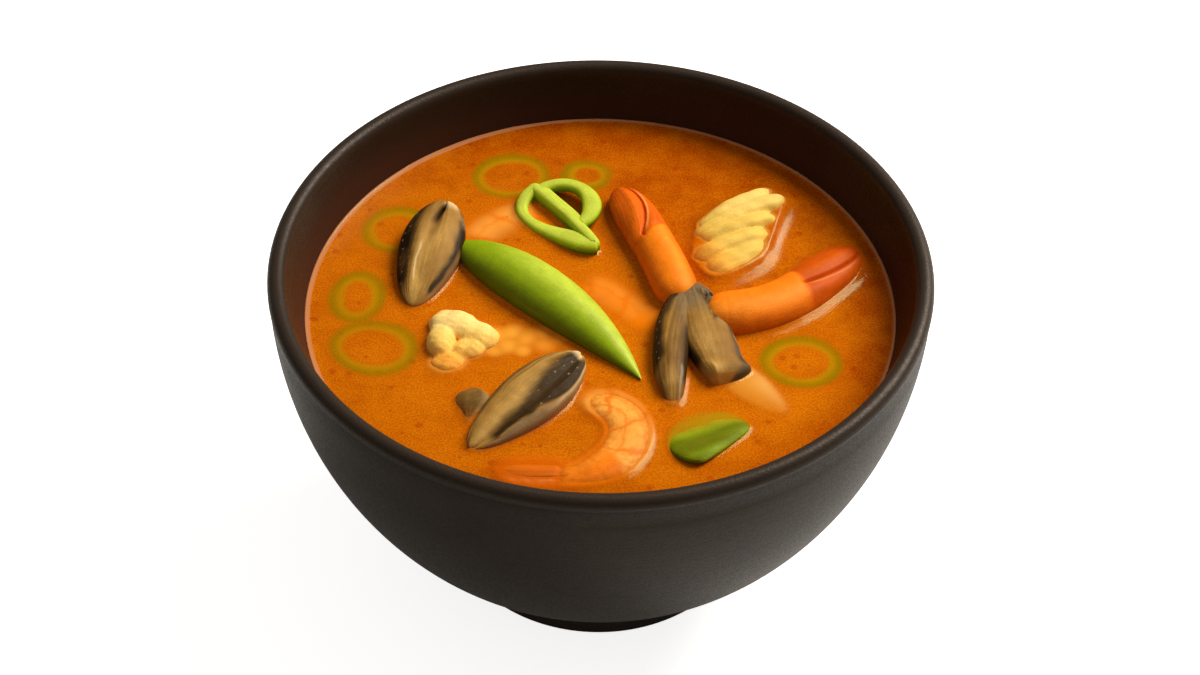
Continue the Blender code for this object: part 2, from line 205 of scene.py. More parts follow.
def tag(mesh, name, values):
    """Keeps a colour or a vector for every corner point of the mesh."""
    values = np.asarray(values, dtype=np.float32).reshape(len(mesh.vertices), -1)
    if values.shape[1] == 1:
        mesh.attributes.new(name, "FLOAT", "POINT").data.foreach_set("value", values.ravel())
    elif name == "way":
        mesh.attributes.new(name, "FLOAT_VECTOR", "POINT").data.foreach_set("vector", values.ravel())
    else:
        full = np.concatenate([values, np.ones((len(values), 1), np.float32)], axis=1)
        mesh.attributes.new(name, "FLOAT_COLOR", "POINT").data.foreach_set("color", full.ravel())


def grid_mesh(name, points, wrap=True, cap=True):
    """A mesh over a grid of points (rows, columns, 3). The columns close into rings, and the ends are
    capped."""
    rows, columns = points.shape[:2]
    index = np.arange(rows * columns).reshape(rows, columns)
    beside = np.roll(index, -1, axis=1) if wrap else index[:, 1:]
    here = index if wrap else index[:, :-1]
    faces = np.stack([here[:-1], beside[:-1], beside[1:], here[1:]], axis=-1).reshape(-1, 4).tolist()
    if cap:
        faces += [index[0, ::-1].tolist(), index[-1].tolist()]
    mesh = bpy.data.meshes.new(name)
    mesh.from_pydata((points.reshape(-1, 3) * MM).tolist(), [], faces)
    mesh.update()
    return mesh


def along_arcs(arcs, shares):
    """Where a spine of flat arcs is and how it heads at each share of its length. It starts along +X."""
    total = sum(length for length, _ in arcs)
    places, headings = [], []
    for share in shares:
        left = share * total
        here, heading = np.zeros(2), 0.0
        for length, turn in arcs:
            run = min(left, length)
            bend = math.radians(turn) * run / length
            chord = run * (math.sin(bend / 2) / (bend / 2) if abs(bend) > 1e-6 else 1.0)
            here = here + chord * np.array([math.cos(heading + bend / 2), math.sin(heading + bend / 2)])
            heading += bend
            left -= run
            if left <= 0:
                break
        places.append(here)
        headings.append(heading)
    return np.array(places), np.array(headings)


def turned_about(points, start, heading, lift=0.0):
    """Points of a piece's own frame, stood over start at the broth's level and turned to its heading."""
    turn = math.radians(heading)
    x = start[0] + points[..., 0] * math.cos(turn) - points[..., 1] * math.sin(turn)
    y = start[1] + points[..., 0] * math.sin(turn) + points[..., 1] * math.cos(turn)
    return np.stack([x, y, points[..., 2] + LEVEL + lift], axis=-1)


def loft(name, start, heading, arcs, heights, form, along=140, around=96):
    """A closed body round a spine. form(share, turn) gives across, up and colour, where turn runs from the
    left side over the top. More of its points lie on the top half than below."""
    shares = (1.0 - np.cos(np.pi * np.linspace(0.012, 0.988, along))) / 2
    top = int(around * 0.72)
    turns = np.concatenate([np.linspace(0, np.pi, top), np.linspace(np.pi, math.tau, around - top + 2)[1:-1]])
    share, turn = np.meshgrid(shares, turns, indexing="ij")
    across, up, tone = form(share, turn)
    places, headings = along_arcs(arcs, shares)
    side = np.stack([-np.sin(headings), np.cos(headings)], axis=-1)
    flat = places[:, None, :] + side[:, None, :] * across[..., None]
    rise = heights[0] + (heights[1] - heights[0]) * share
    points = turned_about(np.concatenate([flat, (rise + up)[..., None]], axis=-1), start, heading)
    mesh = grid_mesh(name, points)
    total = sum(length for length, _ in arcs)
    tag(mesh, "tone", np.clip(tone, 0.0, 1.0))
    tag(mesh, "way", np.stack([across, share * total, up], axis=-1))
    return mesh


def seat(mesh, node, sides):
    """Moves the mesh so that it lines up with its node's box: for X and then Y, at its low side, its high
    side or its middle."""
    low, high = (np.array(corner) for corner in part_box(node))
    flat = np.empty(len(mesh.vertices) * 3, dtype=np.float32)
    mesh.vertices.foreach_get("co", flat)
    places = flat.reshape(-1, 3)
    mine = (places.min(0), places.max(0))
    shares = {"low": 0.0, "middle": 0.5, "high": 1.0}
    for axis, side in enumerate(sides):
        share = shares[side]
        move = (low + (high - low) * share)[axis] - (mine[0] + (mine[1] - mine[0]) * share)[axis]
        places[:, axis] += move
    mesh.vertices.foreach_set("co", places.ravel())
    mesh.update()
    return mesh


# Materials


class Tree:
    """Adds nodes to a node tree. An input may be a plain value or another node's output."""

    def __init__(self, tree):
        self.tree = tree

    def add(self, kind, inputs=None, **settings):
        made = self.tree.nodes.new(kind)
        for name, value in settings.items():
            setattr(made, name, value)
        for name, value in (inputs or {}).items():
            socket = made.inputs[name]
            if isinstance(value, bpy.types.NodeSocket):
                self.tree.links.new(value, socket)
            elif isinstance(value, np.ndarray):
                socket.default_value = (*value, 1.0)
            else:
                socket.default_value = value
        return made

    def mixed(self, share, first, second, blend_type="MIX"):
        inputs = {0: share, 6: first, 7: second}
        made = self.add("ShaderNodeMix", inputs, data_type="RGBA", blend_type=blend_type)
        return made.outputs[2]

    def sums(self, operation, first, second=0.0, third=0.0):
        made = self.add("ShaderNodeMath", {0: first, 1: second, 2: third}, operation=operation)
        return made.outputs[0]

    def ranged(self, value, low, high, to_low=0.0, to_high=1.0):
        inputs = {"Value": value, "From Min": low, "From Max": high, "To Min": to_low, "To Max": to_high}
        return self.add("ShaderNodeMapRange", inputs, interpolation_type="SMOOTHSTEP").outputs[0]

    def noise(self, vector, scale, detail=3.0, roughness=0.55):
        inputs = {"Vector": vector, "Scale": scale, "Detail": detail, "Roughness": roughness}
        return self.add("ShaderNodeTexNoise", inputs).outputs["Fac"]

    def cells(self, vector, scale):
        return self.add("ShaderNodeTexVoronoi", {"Vector": vector, "Scale": scale}).outputs

    def attribute(self, name):
        return self.add("ShaderNodeAttribute", attribute_name=name).outputs

    def stretched(self, vector, scales):
        return self.add("ShaderNodeMapping", {"Vector": vector, "Scale": scales}).outputs[0]

    def place(self):
        """Where the point is, in millimetres."""
        spot = self.add("ShaderNodeTexCoord").outputs["Object"]
        return self.stretched(spot, (1 / MM, 1 / MM, 1 / MM))


def effect(name, inputs, outputs):
    """A node group with named sockets. Returns its tree, its input sockets and its output node."""
    group = bpy.data.node_groups.new(name, "ShaderNodeTree")
    kinds = {"colour": "NodeSocketColor", "value": "NodeSocketFloat", "vector": "NodeSocketVector"}
    for socket, kind in inputs.items():
        group.interface.new_socket(socket, in_out="INPUT", socket_type=kinds[kind])
    for socket, kind in outputs.items():
        group.interface.new_socket(socket, in_out="OUTPUT", socket_type=kinds[kind])
    tree = Tree(group)
    return tree, tree.add("NodeGroupInput").outputs, tree.add("NodeGroupOutput").inputs


def fibre_effect():
    """Fine streaks that run along a piece, from its own way."""
    tree, given, out = effect(
        "fibres",
        {"Way": "vector", "Width": "value", "Length": "value"},
        {"Streaks": "value", "Relief": "value"},
    )
    wide = tree.sums("DIVIDE", 1.0, given["Width"])
    long = tree.sums("DIVIDE", 1.0, given["Length"])
    scales = tree.add("ShaderNodeCombineXYZ", {"X": wide, "Y": long, "Z": wide}).outputs[0]
    product = tree.add("ShaderNodeVectorMath", {0: given["Way"], 1: scales}, operation="MULTIPLY")
    stretched = product.outputs[0]
    fine = tree.noise(stretched, 1.0, 2.0, 0.6)
    broad = tree.noise(stretched, 0.31, 1.0, 0.5)
    both = tree.sums("ADD", tree.sums("MULTIPLY", fine, 0.6), tree.sums("MULTIPLY", broad, 0.4))
    streaks = tree.ranged(both, 0.3, 0.7)
    tree.tree.links.new(streaks, out["Streaks"])
    tree.tree.links.new(fine, out["Relief"])
    return tree.tree


def grain_effect():
    """Fine grain over a slow mottle."""
    tree, given, out = effect(
        "grain",
        {"Place": "vector", "Size": "value", "Mottle": "value"},
        {"Grain": "value", "Mottle": "value"},
    )
    fine = tree.noise(given["Place"], tree.sums("DIVIDE", 1.0, given["Size"]), 2.0, 0.6)
    slow = tree.noise(given["Place"], tree.sums("DIVIDE", 1.0, given["Mottle"]), 3.0, 0.6)
    tree.tree.links.new(tree.ranged(fine, 0.34, 0.66), out["Grain"])
    tree.tree.links.new(tree.ranged(slow, 0.25, 0.75), out["Mottle"])
    return tree.tree


def speck_effect():
    """Small round specks: a share of the cells of a loose pattern holds one each."""
    tree, given, out = effect(
        "specks",
        {"Place": "vector", "Spacing": "value", "Size": "value", "Share": "value"},
        {"Specks": "value"},
    )
    cells = tree.cells(given["Place"], tree.sums("DIVIDE", 1.0, given["Spacing"]))
    parts = tree.add("ShaderNodeSeparateColor", {"Color": cells["Color"]}).outputs
    chosen = tree.sums("LESS_THAN", parts[0], given["Share"])
    radius = tree.sums("MULTIPLY", given["Size"], tree.sums("ADD", 0.4, parts[1]))
    inside = tree.ranged(tree.sums("DIVIDE", cells["Distance"], radius), 1.0, 0.35)
    tree.tree.links.new(tree.sums("MULTIPLY", chosen, inside), out["Specks"])
    return tree.tree


def steeped_effect():
    """Food takes the broth's colour where it dips into it, with an uneven edge."""
    tree, given, out = effect(
        "steeped",
        {"Colour": "colour", "Broth": "colour", "Place": "vector", "Level": "value", "Fade": "value"},
        {"Colour": "colour", "Wet": "value"},
    )
    height = tree.add("ShaderNodeSeparateXYZ", {"Vector": given["Place"]}).outputs["Z"]
    patchy = tree.sums("SUBTRACT", tree.noise(given["Place"], 0.9, 2.0), 0.5)
    uneven = tree.sums("MULTIPLY", patchy, given["Fade"])
    above = tree.sums("ADD", tree.sums("SUBTRACT", height, given["Level"]), uneven)
    wet = tree.ranged(tree.sums("DIVIDE", above, given["Fade"]), 1.0, 0.0)
    tree.tree.links.new(tree.mixed(wet, given["Colour"], given["Broth"]), out["Colour"])
    tree.tree.links.new(wet, out["Wet"])
    return tree.tree


FIBRES = fibre_effect()
GRAIN = grain_effect()
SPECKS = speck_effect()
STEEPED = steeped_effect()


def material(name, roughness, specular=0.4, tint=(1.0, 1.0, 1.0)):
    made = bpy.data.materials.new(name)
    made.use_nodes = True
    made.node_tree.nodes.clear()
    tree = Tree(made.node_tree)
    shader = tree.add("ShaderNodeBsdfPrincipled", {"Roughness": roughness, "Specular IOR Level": specular})
    shader.inputs["Specular Tint"].default_value = (*tint, 1.0)
    end = tree.add("ShaderNodeOutputMaterial")
    tree.tree.links.new(shader.outputs[0], end.inputs["Surface"])
    return made, tree, shader.inputs


def group(tree, effect_tree, inputs):
    made = tree.tree.nodes.new("ShaderNodeGroup")
    made.node_tree = effect_tree
    for name, value in inputs.items():
        socket = made.inputs[name]
        if isinstance(value, bpy.types.NodeSocket):
            tree.tree.links.new(value, socket)
        elif isinstance(value, np.ndarray):
            socket.default_value = (*value, 1.0)
        else:
            socket.default_value = value
    return made.outputs


def relief(tree, shader, height, depth_mm, strength=1.0):
    bump = tree.add("ShaderNodeBump", {"Height": height, "Distance": depth_mm * MM, "Strength": strength})
    tree.tree.links.new(bump.outputs[0], shader["Normal"])


def link(tree, output, socket):
    tree.tree.links.new(output, socket)


def food_finish(name, roughness, width, length, contrast, depth, fade, grain=0.35, specular=0.4):
    """Wet food: its painted tone, streaked along its way, grained, and steeped in broth at its foot."""
    made, tree, shader = material(name, roughness, specular, (1.0, 0.93, 0.74))
    place = tree.place()
    tone = tree.attribute("tone")["Color"]
    way = tree.attribute("way")["Vector"]
    fibres = group(tree, FIBRES, {"Way": way, "Width": width, "Length": length})
    grains = group(tree, GRAIN, {"Place": place, "Size": grain, "Mottle": 3.0})
    light = tree.sums("ADD", 1.0 - contrast, tree.sums("MULTIPLY", fibres["Streaks"], 2.0 * contrast))
    light = tree.sums("MULTIPLY", light, tree.ranged(grains["Grain"], 0.0, 1.0, 0.95, 1.05))
    light = tree.sums("MULTIPLY", light, tree.ranged(grains["Mottle"], 0.0, 1.0, 0.94, 1.06))
    streaked = tree.add("ShaderNodeVectorMath", {0: tone, "Scale": light}, operation="SCALE").outputs[0]
    inputs = {"Colour": streaked, "Broth": BROTH, "Place": place, "Level": LEVEL - 0.3, "Fade": fade}
    steeped = group(tree, STEEPED, inputs)
    link(tree, steeped["Colour"], shader["Base Color"])
    uneven = tree.ranged(grains["Grain"], 0.0, 1.0, roughness - 0.06, roughness + 0.08)
    link(tree, uneven, shader["Roughness"])
    height = tree.sums("ADD", fibres["Relief"], tree.sums("MULTIPLY", grains["Grain"], 0.4))
    relief(tree, shader, height, depth)
    return made


# The bowl


def hollow_radius(height):
    """The inner wall's radius at a height."""
    rise = np.clip((WALL_TOP - height) / HOLLOW_DEPTH, 0.0, 1.0)
    return HOLLOW_RADIUS * np.sqrt(1.0 - rise**2) + FLARE * step(FLARE_START, FLARE_END, height)


# The radius at which the broth meets the wall
EDGE = float(hollow_radius(np.array(LEVEL + WALL_CLIMB))) - 0.03


def make_bowl_finish():
    made, tree, shader = material("dark_glaze", 0.4, 0.2, (1.0, 0.84, 0.7))
    place = tree.place()
    grains = group(tree, GRAIN, {"Place": place, "Size": 0.45, "Mottle": 9.0})
    throwing = tree.noise(tree.stretched(place, (0.02, 0.02, 0.9)), 1.0, 3.0, 0.6)
    height = tree.add("ShaderNodeSeparateXYZ", {"Vector": place}).outputs["Z"]
    lip = tree.ranged(height, LIP_HEIGHT - 1.2, LIP_HEIGHT + LIP_RADIUS)
    body = tree.mixed(grains["Mottle"], srgb(27, 21, 16), srgb(37, 29, 22))
    body = tree.mixed(tree.sums("MULTIPLY", throwing, 0.5), body, srgb(40, 32, 25))
    out = tree.add("ShaderNodeVectorMath", {0: tree.stretched(place, (1.0, 1.0, 0.0))}, operation="LENGTH")
    # Painted reflected light: the inner wall is painted warmer brown towards the broth, for the broth's
    # orange light thrown back onto it.
    inner = tree.ranged(out.outputs["Value"], 66.5, 64.0)
    painted_soup_glow = tree.sums("MULTIPLY", inner, tree.ranged(height, 50.0, 74.0, 0.0, 0.8))
    body = tree.mixed(painted_soup_glow, body, srgb(58, 28, 15))
    worn = tree.mixed(tree.sums("MULTIPLY", lip, 0.5), body, srgb(64, 53, 46))
    link(tree, worn, shader["Base Color"])
    link(tree, tree.ranged(grains["Grain"], 0.0, 1.0, 0.36, 0.48), shader["Roughness"])
    relief(tree, shader, tree.sums("ADD", grains["Grain"], tree.sums("MULTIPLY", throwing, 2.0)), 0.02)
    return made


def make_bowl():
    angles = np.radians(np.linspace(0.0, 90.0, 46))
    inner_height = WALL_TOP - HOLLOW_DEPTH * np.cos(angles)
    inner = np.stack([hollow_radius(inner_height), inner_height], axis=-1)
    lip_angles = np.radians(np.linspace(180.0, -50.0, 24))
    middle = RIM_RADIUS - LIP_RADIUS
    lip_round = LIP_RADIUS * np.stack([np.cos(lip_angles), np.sin(lip_angles)], axis=-1)
    lip = lip_round + (middle, LIP_HEIGHT)
    angles = np.radians(np.linspace(88.0, 31.0, 40))
    outer = np.stack([WALL_RADIUS * np.sin(angles), WALL_TOP - WALL_DEPTH * np.cos(angles)], axis=-1)
    edge = np.radians(np.linspace(0.0, 90.0, 6))
    round_low = np.stack([FOOT_EDGE * np.cos(edge), -FOOT_EDGE * np.sin(edge)], axis=-1)
    inner_foot = FOOT_RADIUS - FOOT_THICKNESS
    foot = np.concatenate(
        [
            [(FOOT_RADIUS, FOOT_HEIGHT - FOOT_EDGE)],
            round_low + (FOOT_RADIUS - FOOT_EDGE, FOOT_EDGE),
            (round_low * (-1, 1))[::-1] + (inner_foot + FOOT_EDGE, FOOT_EDGE),
            [(inner_foot - FOOT_EDGE, FOOT_RECESS), (0.01, FOOT_RECESS)],
        ]
    )
    inner[0, 0] = 0.01
    profile = np.concatenate([inner, lip[1:], outer, foot])
    turns = np.linspace(0.0, math.tau, TURNED_STEPS, endpoint=False)
    ring = np.stack([np.cos(turns), np.sin(turns)], axis=-1)
    flat = profile[:, None, :1] * ring[None]
    points = np.concatenate([flat, np.repeat(profile[:, None, 1:], TURNED_STEPS, axis=1)], axis=-1)
    mesh = grid_mesh("bowl_glazed", points)
    mesh.flip_normals()
    piece = finished("bowl_glazed", mesh, make_bowl_finish(), "bowl")
    mesh.set_sharp_from_angle(angle=math.radians(60))
    return piece


# Pod


def make_pod():
    length, half_width, half_height = 58.0, 6.7, 5.0

    def form(share, turn):
        taper = share**0.62 * (1.0 - share) ** 0.95 / 0.349
        aside, over = np.cos(turn), np.sin(turn)
        across = half_width * taper * aside
        up = half_height * taper * over
        up = up + 0.05 * drift(3, share * 40, aside * 2) * taper
        # Painted shade darkens the pod's lower-left side and underside; a painted highlight runs along its
        # upper right.
        tone = mix(POD_GREEN, POD_SHADE, step(0.35, -0.75, 0.75 * aside + 0.65 * over))
        uneven = 0.8 * aside + 0.2 * mottle(7, share * 6, aside * 1.2)
        light = bell(uneven, 0.35, 0.5) * step(-0.1, 0.25, over)
        tone = mix(tone, POD_HIGHLIGHT, 0.9 * light * step(0.1, 0.4, share))
        return across, up, tone

    mesh = loft("pod_green", (-32.0, 16.7), -32.9, [(length, -24.0)], (1.2, 0.6), form, 150, 72)
    return seat(mesh, "pod", ("high", "low"))


# Straw mushrooms, halved


def egg(share, skew=0.12):
    """How full an egg-shaped half is at each share of its length. The skew makes its start the fuller end."""
    return np.sin(np.pi * share) ** 0.5 * (1.0 + skew * np.cos(np.pi * share))


def broad_end(share):
    """Narrow at the start and broadest close to the far end."""
    return share**0.35 * (1.0 - share**10) ** 0.5


def mushroom_body(turn, half_width, above, swell):
    """The low crown of a cut mushroom over its deep skin side, as full as the swell at each share."""
    aside, over = np.cos(turn), np.sin(turn)
    top = above * swell * np.abs(over) ** 0.7
    return half_width * swell * aside, np.where(over >= 0, top, 0.8 * half_width * swell * over)


def make_left_mushroom():
    length, half_width = 31.5, 6.9

    def form(share, turn):
        aside = np.cos(turn)
        top = np.sin(turn) > 0
        blotch = mottle(11, share * 7, aside * 1.6)
        edge = aside + 0.08 * blotch
        notch_at = 0.08 - 0.9 * (share - 0.1)
        across, up = mushroom_body(turn, half_width, 3.1, egg(share))
        notch = bell(edge, notch_at, 0.11) * (1.0 - step(0.14, 0.36, share)) * step(0.04, 0.1, share)
        crease = bell(edge, notch_at + 0.25 * share, 0.14) * (1.0 - step(0.3, 0.6, share))
        lift = -1.3 * notch - 0.4 * crease
        lift = lift + 0.5 * bell(edge, 0.3, 0.3) * between(0.15, 0.7, 0.15, share)
        lift = lift + 0.35 * bell(edge, -0.4, 0.18) * between(0.1, 0.8, 0.15, share)
        lift = lift + 0.02 * drift(12, share * 6, aside * 34) + 0.08 * mottle(10, share * 14, aside * 5)
        up = up + np.where(top, lift, 0.0)
        streak = drift(13, share * 5, aside * 9)
        gold = bell(edge, 0.15 - 0.3 * share, 0.36) * step(0.15, 0.5, share)
        tone = mix(FLESH, FLESH_PALE, np.clip(0.1 + 0.16 * streak + 0.55 * gold, 0.0, 1.0))
        tone = mix(tone, FLESH_DARK_AND_SHADE, np.clip(0.3 * blotch + 0.55 * (1.0 - gold) - 0.05, 0.0, 0.8))
        tone = mix(tone, CREAM_AND_HIGHLIGHT, 0.85 * (1.0 - step(0.04, 0.16, share)) * step(-0.1, 0.25, edge))
        # Painted shade: the crease and the notch are painted dark.
        tone = mix(tone, FLESH_DARK_AND_SHADE, 0.6 * crease)
        tone = mix(tone, SKIN_AND_SHADE, 0.97 * np.clip(1.5 * notch, 0.0, 1.0))
        # Painted highlight: a thin pale wet streak.
        wet_highlight = bell(edge, -0.28 - 0.15 * (share - 0.6), 0.035) * between(0.55, 0.78, 0.08, share)
        tone = mix(tone, CREAM_AND_HIGHLIGHT, 0.75 * wet_highlight)
        far = share * length, aside * half_width
        left_skin = 1.0 - step(-0.66, -0.36, edge + 0.9 * (share - 0.5) ** 2)
        skin = mix(SKIN_AND_SHADE, SKIN_MID, np.clip(0.25 + 0.45 * mottle(17, share * 18, aside * 6), 0.0, 1.0))
        fading = 1.0 - 0.8 * step(0.8, 0.97, share)
        tone = mix(tone, mix(skin, SKIN_SPOT, 0.4 * flecks(14, *far, 2.3, 0.22)), left_skin * fading)
        thin_skin = step(0.72, 0.88, edge) * between(0.14, 0.56, 0.12, share)
        thin = mix(SKIN_THIN, SKIN_AND_SHADE, np.clip(0.5 + 0.6 * mottle(15, share * 20, aside * 6), 0.0, 1.0))
        tone = mix(tone, thin, 0.9 * thin_skin)
        patch_at = 0.98 - 0.35 * np.clip(share - 0.5, 0.0, 0.4)
        ragged = 0.12 * mottle(18, share * 16, aside * 4)
        patch = step(0.15, 0.85, bell(edge, patch_at, 0.24) * between(0.34, 0.84, 0.12, share) + ragged)
        tone = mix(tone, SKIN_AND_SHADE, 0.95 * patch)
        # The pale lower-right rim is partly thin translucent skin and partly a painted highlight.
        tone = mix(tone, RIM_SKIN_AND_HIGHLIGHT, 0.6 * step(0.84, 0.97, edge) * between(0.55, 0.9, 0.1, share))
        return across, up, mix(tone, FLESH_DARK_AND_SHADE, 0.8 * (1.0 - step(-0.3, 0.0, np.sin(turn))))

    mesh = loft("mushroom_left_half", (-34.7, 28.4), -99.9, [(length, 0.0)], (3.6, 0.4), form, 170, 170)
    return seat(mesh, "mushroom_left", ("middle", "middle"))


def make_front_mushroom():
    length, half_width = 33.0, 6.6

    def form(share, turn):
        aside = np.cos(turn)
        top = np.sin(turn) > 0
        blotch = mottle(21, share * 6, aside * 1.6)
        edge = aside + 0.08 * blotch
        across, up = mushroom_body(turn, half_width, 3.1, egg(share))
        low = -0.32 + 0.75 * step(0.1, 0.95, share)
        high = 0.88 - 0.1 * bell(share, 0.62, 0.2)
        lift = 0.5 * bell(edge, -0.3, 0.35) - 0.35 * bell(edge, (low + high) / 2, 0.2)
        lift = lift + 0.02 * drift(22, share * 6, aside * 32) + 0.08 * mottle(20, share * 14, aside * 5)
        up = up + np.where(top, lift, 0.0)
        streak = drift(23, share * 4, aside * 8)
        warm = bell(edge, -0.3 + 0.5 * share, 0.4) * step(0.1, 0.5, share)
        tone = mix(FLESH, FLESH_PALE, np.clip(0.12 + 0.16 * streak + 0.6 * warm, 0.0, 1.0))
        tone = mix(tone, SKIN_MID, 0.75 * (1.0 - step(-0.88, -0.68, edge)) * (1.0 - step(0.7, 0.95, share)))
        line = bell(edge, -0.66, 0.035) * (1.0 - step(0.4, 0.7, share))
        tone = mix(tone, SKIN_AND_SHADE, 0.6 * line)
        ragged = 0.08 * mottle(27, share * 8, aside * 3) + 0.035 * mottle(29, share * 30, aside * 14)
        torn = edge + ragged
        dark = step(low - 0.24, low + 0.3, torn) * (1.0 - step(high - 0.05, high + 0.1, torn))
        dark = dark * between(0.07, 0.84, 0.08, share)
        deep = mix(SKIN_AND_SHADE, SKIN_MID, np.clip(0.1 + 0.5 * mottle(26, share * 10, aside * 3.2), 0.0, 0.8))
        far = share * length, aside * half_width
        lit = flecks(25, *far, 2.6, 0.24) * between(0.15, 0.5, 0.1, share)
        tone = mix(tone, mix(deep, SKIN_SPOT, 0.5 * lit), 0.95 * dark)
        # The pale rim along the edge is partly thin translucent skin and partly a painted highlight; the thin
        # cream line near the tip is a painted highlight.
        rim = step(high, high + 0.1, edge)
        tone = mix(tone, mix(RIM_SKIN_AND_HIGHLIGHT, SKIN_THIN, np.clip(0.5 + 0.5 * blotch, 0.0, 1.0)), 0.85 * rim)
        tone = mix(tone, CREAM_AND_HIGHLIGHT, 0.5 * bell(edge, 0.95, 0.04) * (1.0 - step(0.3, 0.55, share)))
        tone = mix(tone, CREAM_AND_HIGHLIGHT, 0.75 * (1.0 - step(0.02, 0.08, share)) * (1.0 - step(0.3, 0.7, edge)))
        return across, up, mix(tone, RIM_SKIN_AND_HIGHLIGHT, 0.8 * (1.0 - step(-0.3, 0.0, np.sin(turn))))

    mesh = loft("mushroom_front_half", (-3.9, -19.2), -131.5, [(length, 0.0)], (2.8, 0.2), form, 170, 170)
    return seat(mesh, "mushroom_front", ("middle", "middle"))


def make_right_mushroom():
    """One half, cut so that a narrow lobe parts from its broad face, and the stalk that runs under the
    broth."""
    dome = srgb(116, 98, 70)

    def face_form(share, turn):
        aside = np.cos(turn)
        top = np.sin(turn) > 0
        blotch = mottle(31, share * 7, aside * 1.8)
        edge = aside + 0.06 * blotch
        _, up = mushroom_body(turn, 6.2, 3.2, broad_end(share) ** 0.8)
        closing = share**0.3 * np.sqrt(1.0 - share**9)
        right_side = 7.4 * closing + 1.9 * bell(share, 0.91, 0.07) + 0.5 * bell(share, 0.26, 0.08)
        left_side = 6.0 * closing * (1.0 - 0.45 * step(0.45, 0.95, share))
        across = aside * np.where(aside > 0, right_side, left_side)
        far = share * 29.5, aside * 6.2
        eye = step(0.1, 0.45, edge + 0.5 * (0.16 - share)) * between(0.14, 0.4, 0.08, share)
        bumps = mottle(32, share * 34, aside * 7)
        lift = 0.3 * eye * (1.0 + bumps) + 0.02 * drift(33, share * 6, aside * 20)
        lift = lift + 0.05 * mottle(30, share * 12, aside * 4)
        knob = bell(share, 0.92, 0.06) * bell(aside, -0.2, 0.36)
        lift = lift + 0.6 * knob - 0.3 * bell(share, 0.82, 0.04) * bell(aside, -0.25, 0.5)
        lift = lift - 0.3 * step(0.45, 0.9, edge) * step(0.45, 0.6, share) - 0.9 * step(0.95, 1.0, share)
        up = up + np.where(top, lift, 0.0)
        browned = 0.36 + 0.1 * drift(34, share * 3, aside * 7) + 0.2 * blotch
        tone = mix(FLESH, FLESH_DARK_AND_SHADE, np.clip(browned, 0.0, 1.0))
        tone = mix(tone, FLESH_PALE, 0.45 * bell(share, 0.66, 0.2) * bell(edge, -0.1, 0.5))
        tone = mix(tone, srgb(206, 160, 84), 0.85 * np.clip(knob, 0.0, 1.0))
        crown = 1.0 - step(0.16, 0.46, share + 0.06 * blotch + 0.1 * np.abs(aside + 0.2))
        tone = mix(tone, dome, 0.9 * crown)
        tone = mix(tone, srgb(120, 84, 40), 0.5 * step(0.1, 0.8, edge) * step(0.4, 0.6, share))
        speckled = mix(SKIN_AND_SHADE, SKIN_THIN, np.clip(0.3 + 0.6 * bumps, 0.0, 1.0))
        tone = mix(tone, mix(speckled, SKIN_SPOT, 0.5 * flecks(35, *far, 1.6, 0.22)), 0.95 * eye)
        strip_at = 0.87 - 0.13 * step(0.42, 0.95, share)
        strip = step(strip_at - 0.12, strip_at + 0.1, edge) * step(0.34, 0.42, share)
        dark = mix(srgb(92, 74, 54), SKIN_AND_SHADE, np.clip(0.35 + 0.6 * mottle(37, share * 10, aside * 3), 0.0, 1.0))
        tone = mix(tone, dark, 0.95 * strip)
        # A thin pale line along the right edge: partly the skin's rim, partly a painted highlight.
        tone = mix(tone, RIM_SKIN_AND_HIGHLIGHT, 0.6 * step(0.92, 0.97, edge) * between(0.45, 0.8, 0.08, share))
        shadow = (1.0 - step(-0.98, -0.62, edge)) * between(0.46, 0.78, 0.1, share)
        tone = mix(tone, SKIN_AND_SHADE, 0.9 * shadow)
        tone = mix(tone, srgb(196, 132, 50), 0.9 * step(0.93, 0.99, share) * (1.0 - strip))
        return across, up, mix(tone, srgb(150, 96, 34), 0.8 * (1.0 - step(-0.3, 0.0, np.sin(turn))))

    def lobe_form(share, turn):
        aside = np.cos(turn)
        top = np.sin(turn) > 0
        blotch = mottle(36, share * 8, aside * 1.4)
        edge = aside + 0.1 * blotch
        blunt = np.sqrt(1.0 - np.clip(2.0 * share - 1.0, 0.0, 1.0) ** 5)
        swell = np.where(share < 0.5, egg(share), blunt)
        across, up = mushroom_body(turn, 3.8, 2.9, swell * (1.0 - 0.22 * step(0.55, 0.95, share)))
        lift = 0.03 * drift(38, share * 6, aside * 18) + 0.08 * mottle(39, share * 14, aside * 3)
        up = up + np.where(top, lift - 1.2 * step(0.86, 1.0, share), 0.0)
        tone = mix(FLESH_DARK_AND_SHADE, FLESH, np.clip(0.25 + 0.3 * blotch + 0.3 * bell(edge, -0.1, 0.3), 0.0, 1.0))
        streaks = np.clip(drift(43, share * 4, aside * 10), 0.0, 1.0)
        tone = mix(tone, SKIN_MID, 0.5 * streaks)
        gold = bell(edge, 0.0 - 0.3 * (share - 0.7), 0.4) * step(0.66, 0.86, share)
        tone = mix(tone, srgb(176, 134, 66), 0.85 * gold)
        crown = 1.0 - step(0.12, 0.4, share + 0.08 * blotch)
        tone = mix(tone, dome, 0.85 * crown)
        skin = mix(SKIN_AND_SHADE, SKIN_MID, np.clip(0.2 + 0.5 * drift(46, share * 5, aside * 9), 0.0, 1.0))
        far = share * 34.0, aside * 4.1
        skin = mix(skin, SKIN_SPOT, 0.4 * flecks(47, *far, 2.0, 0.2))
        left_side = 1.0 - step(-0.6, -0.1, edge + 1.0 * step(0.62, 0.86, share) - 0.2 * crown)
        tone = mix(tone, skin, 0.92 * left_side)
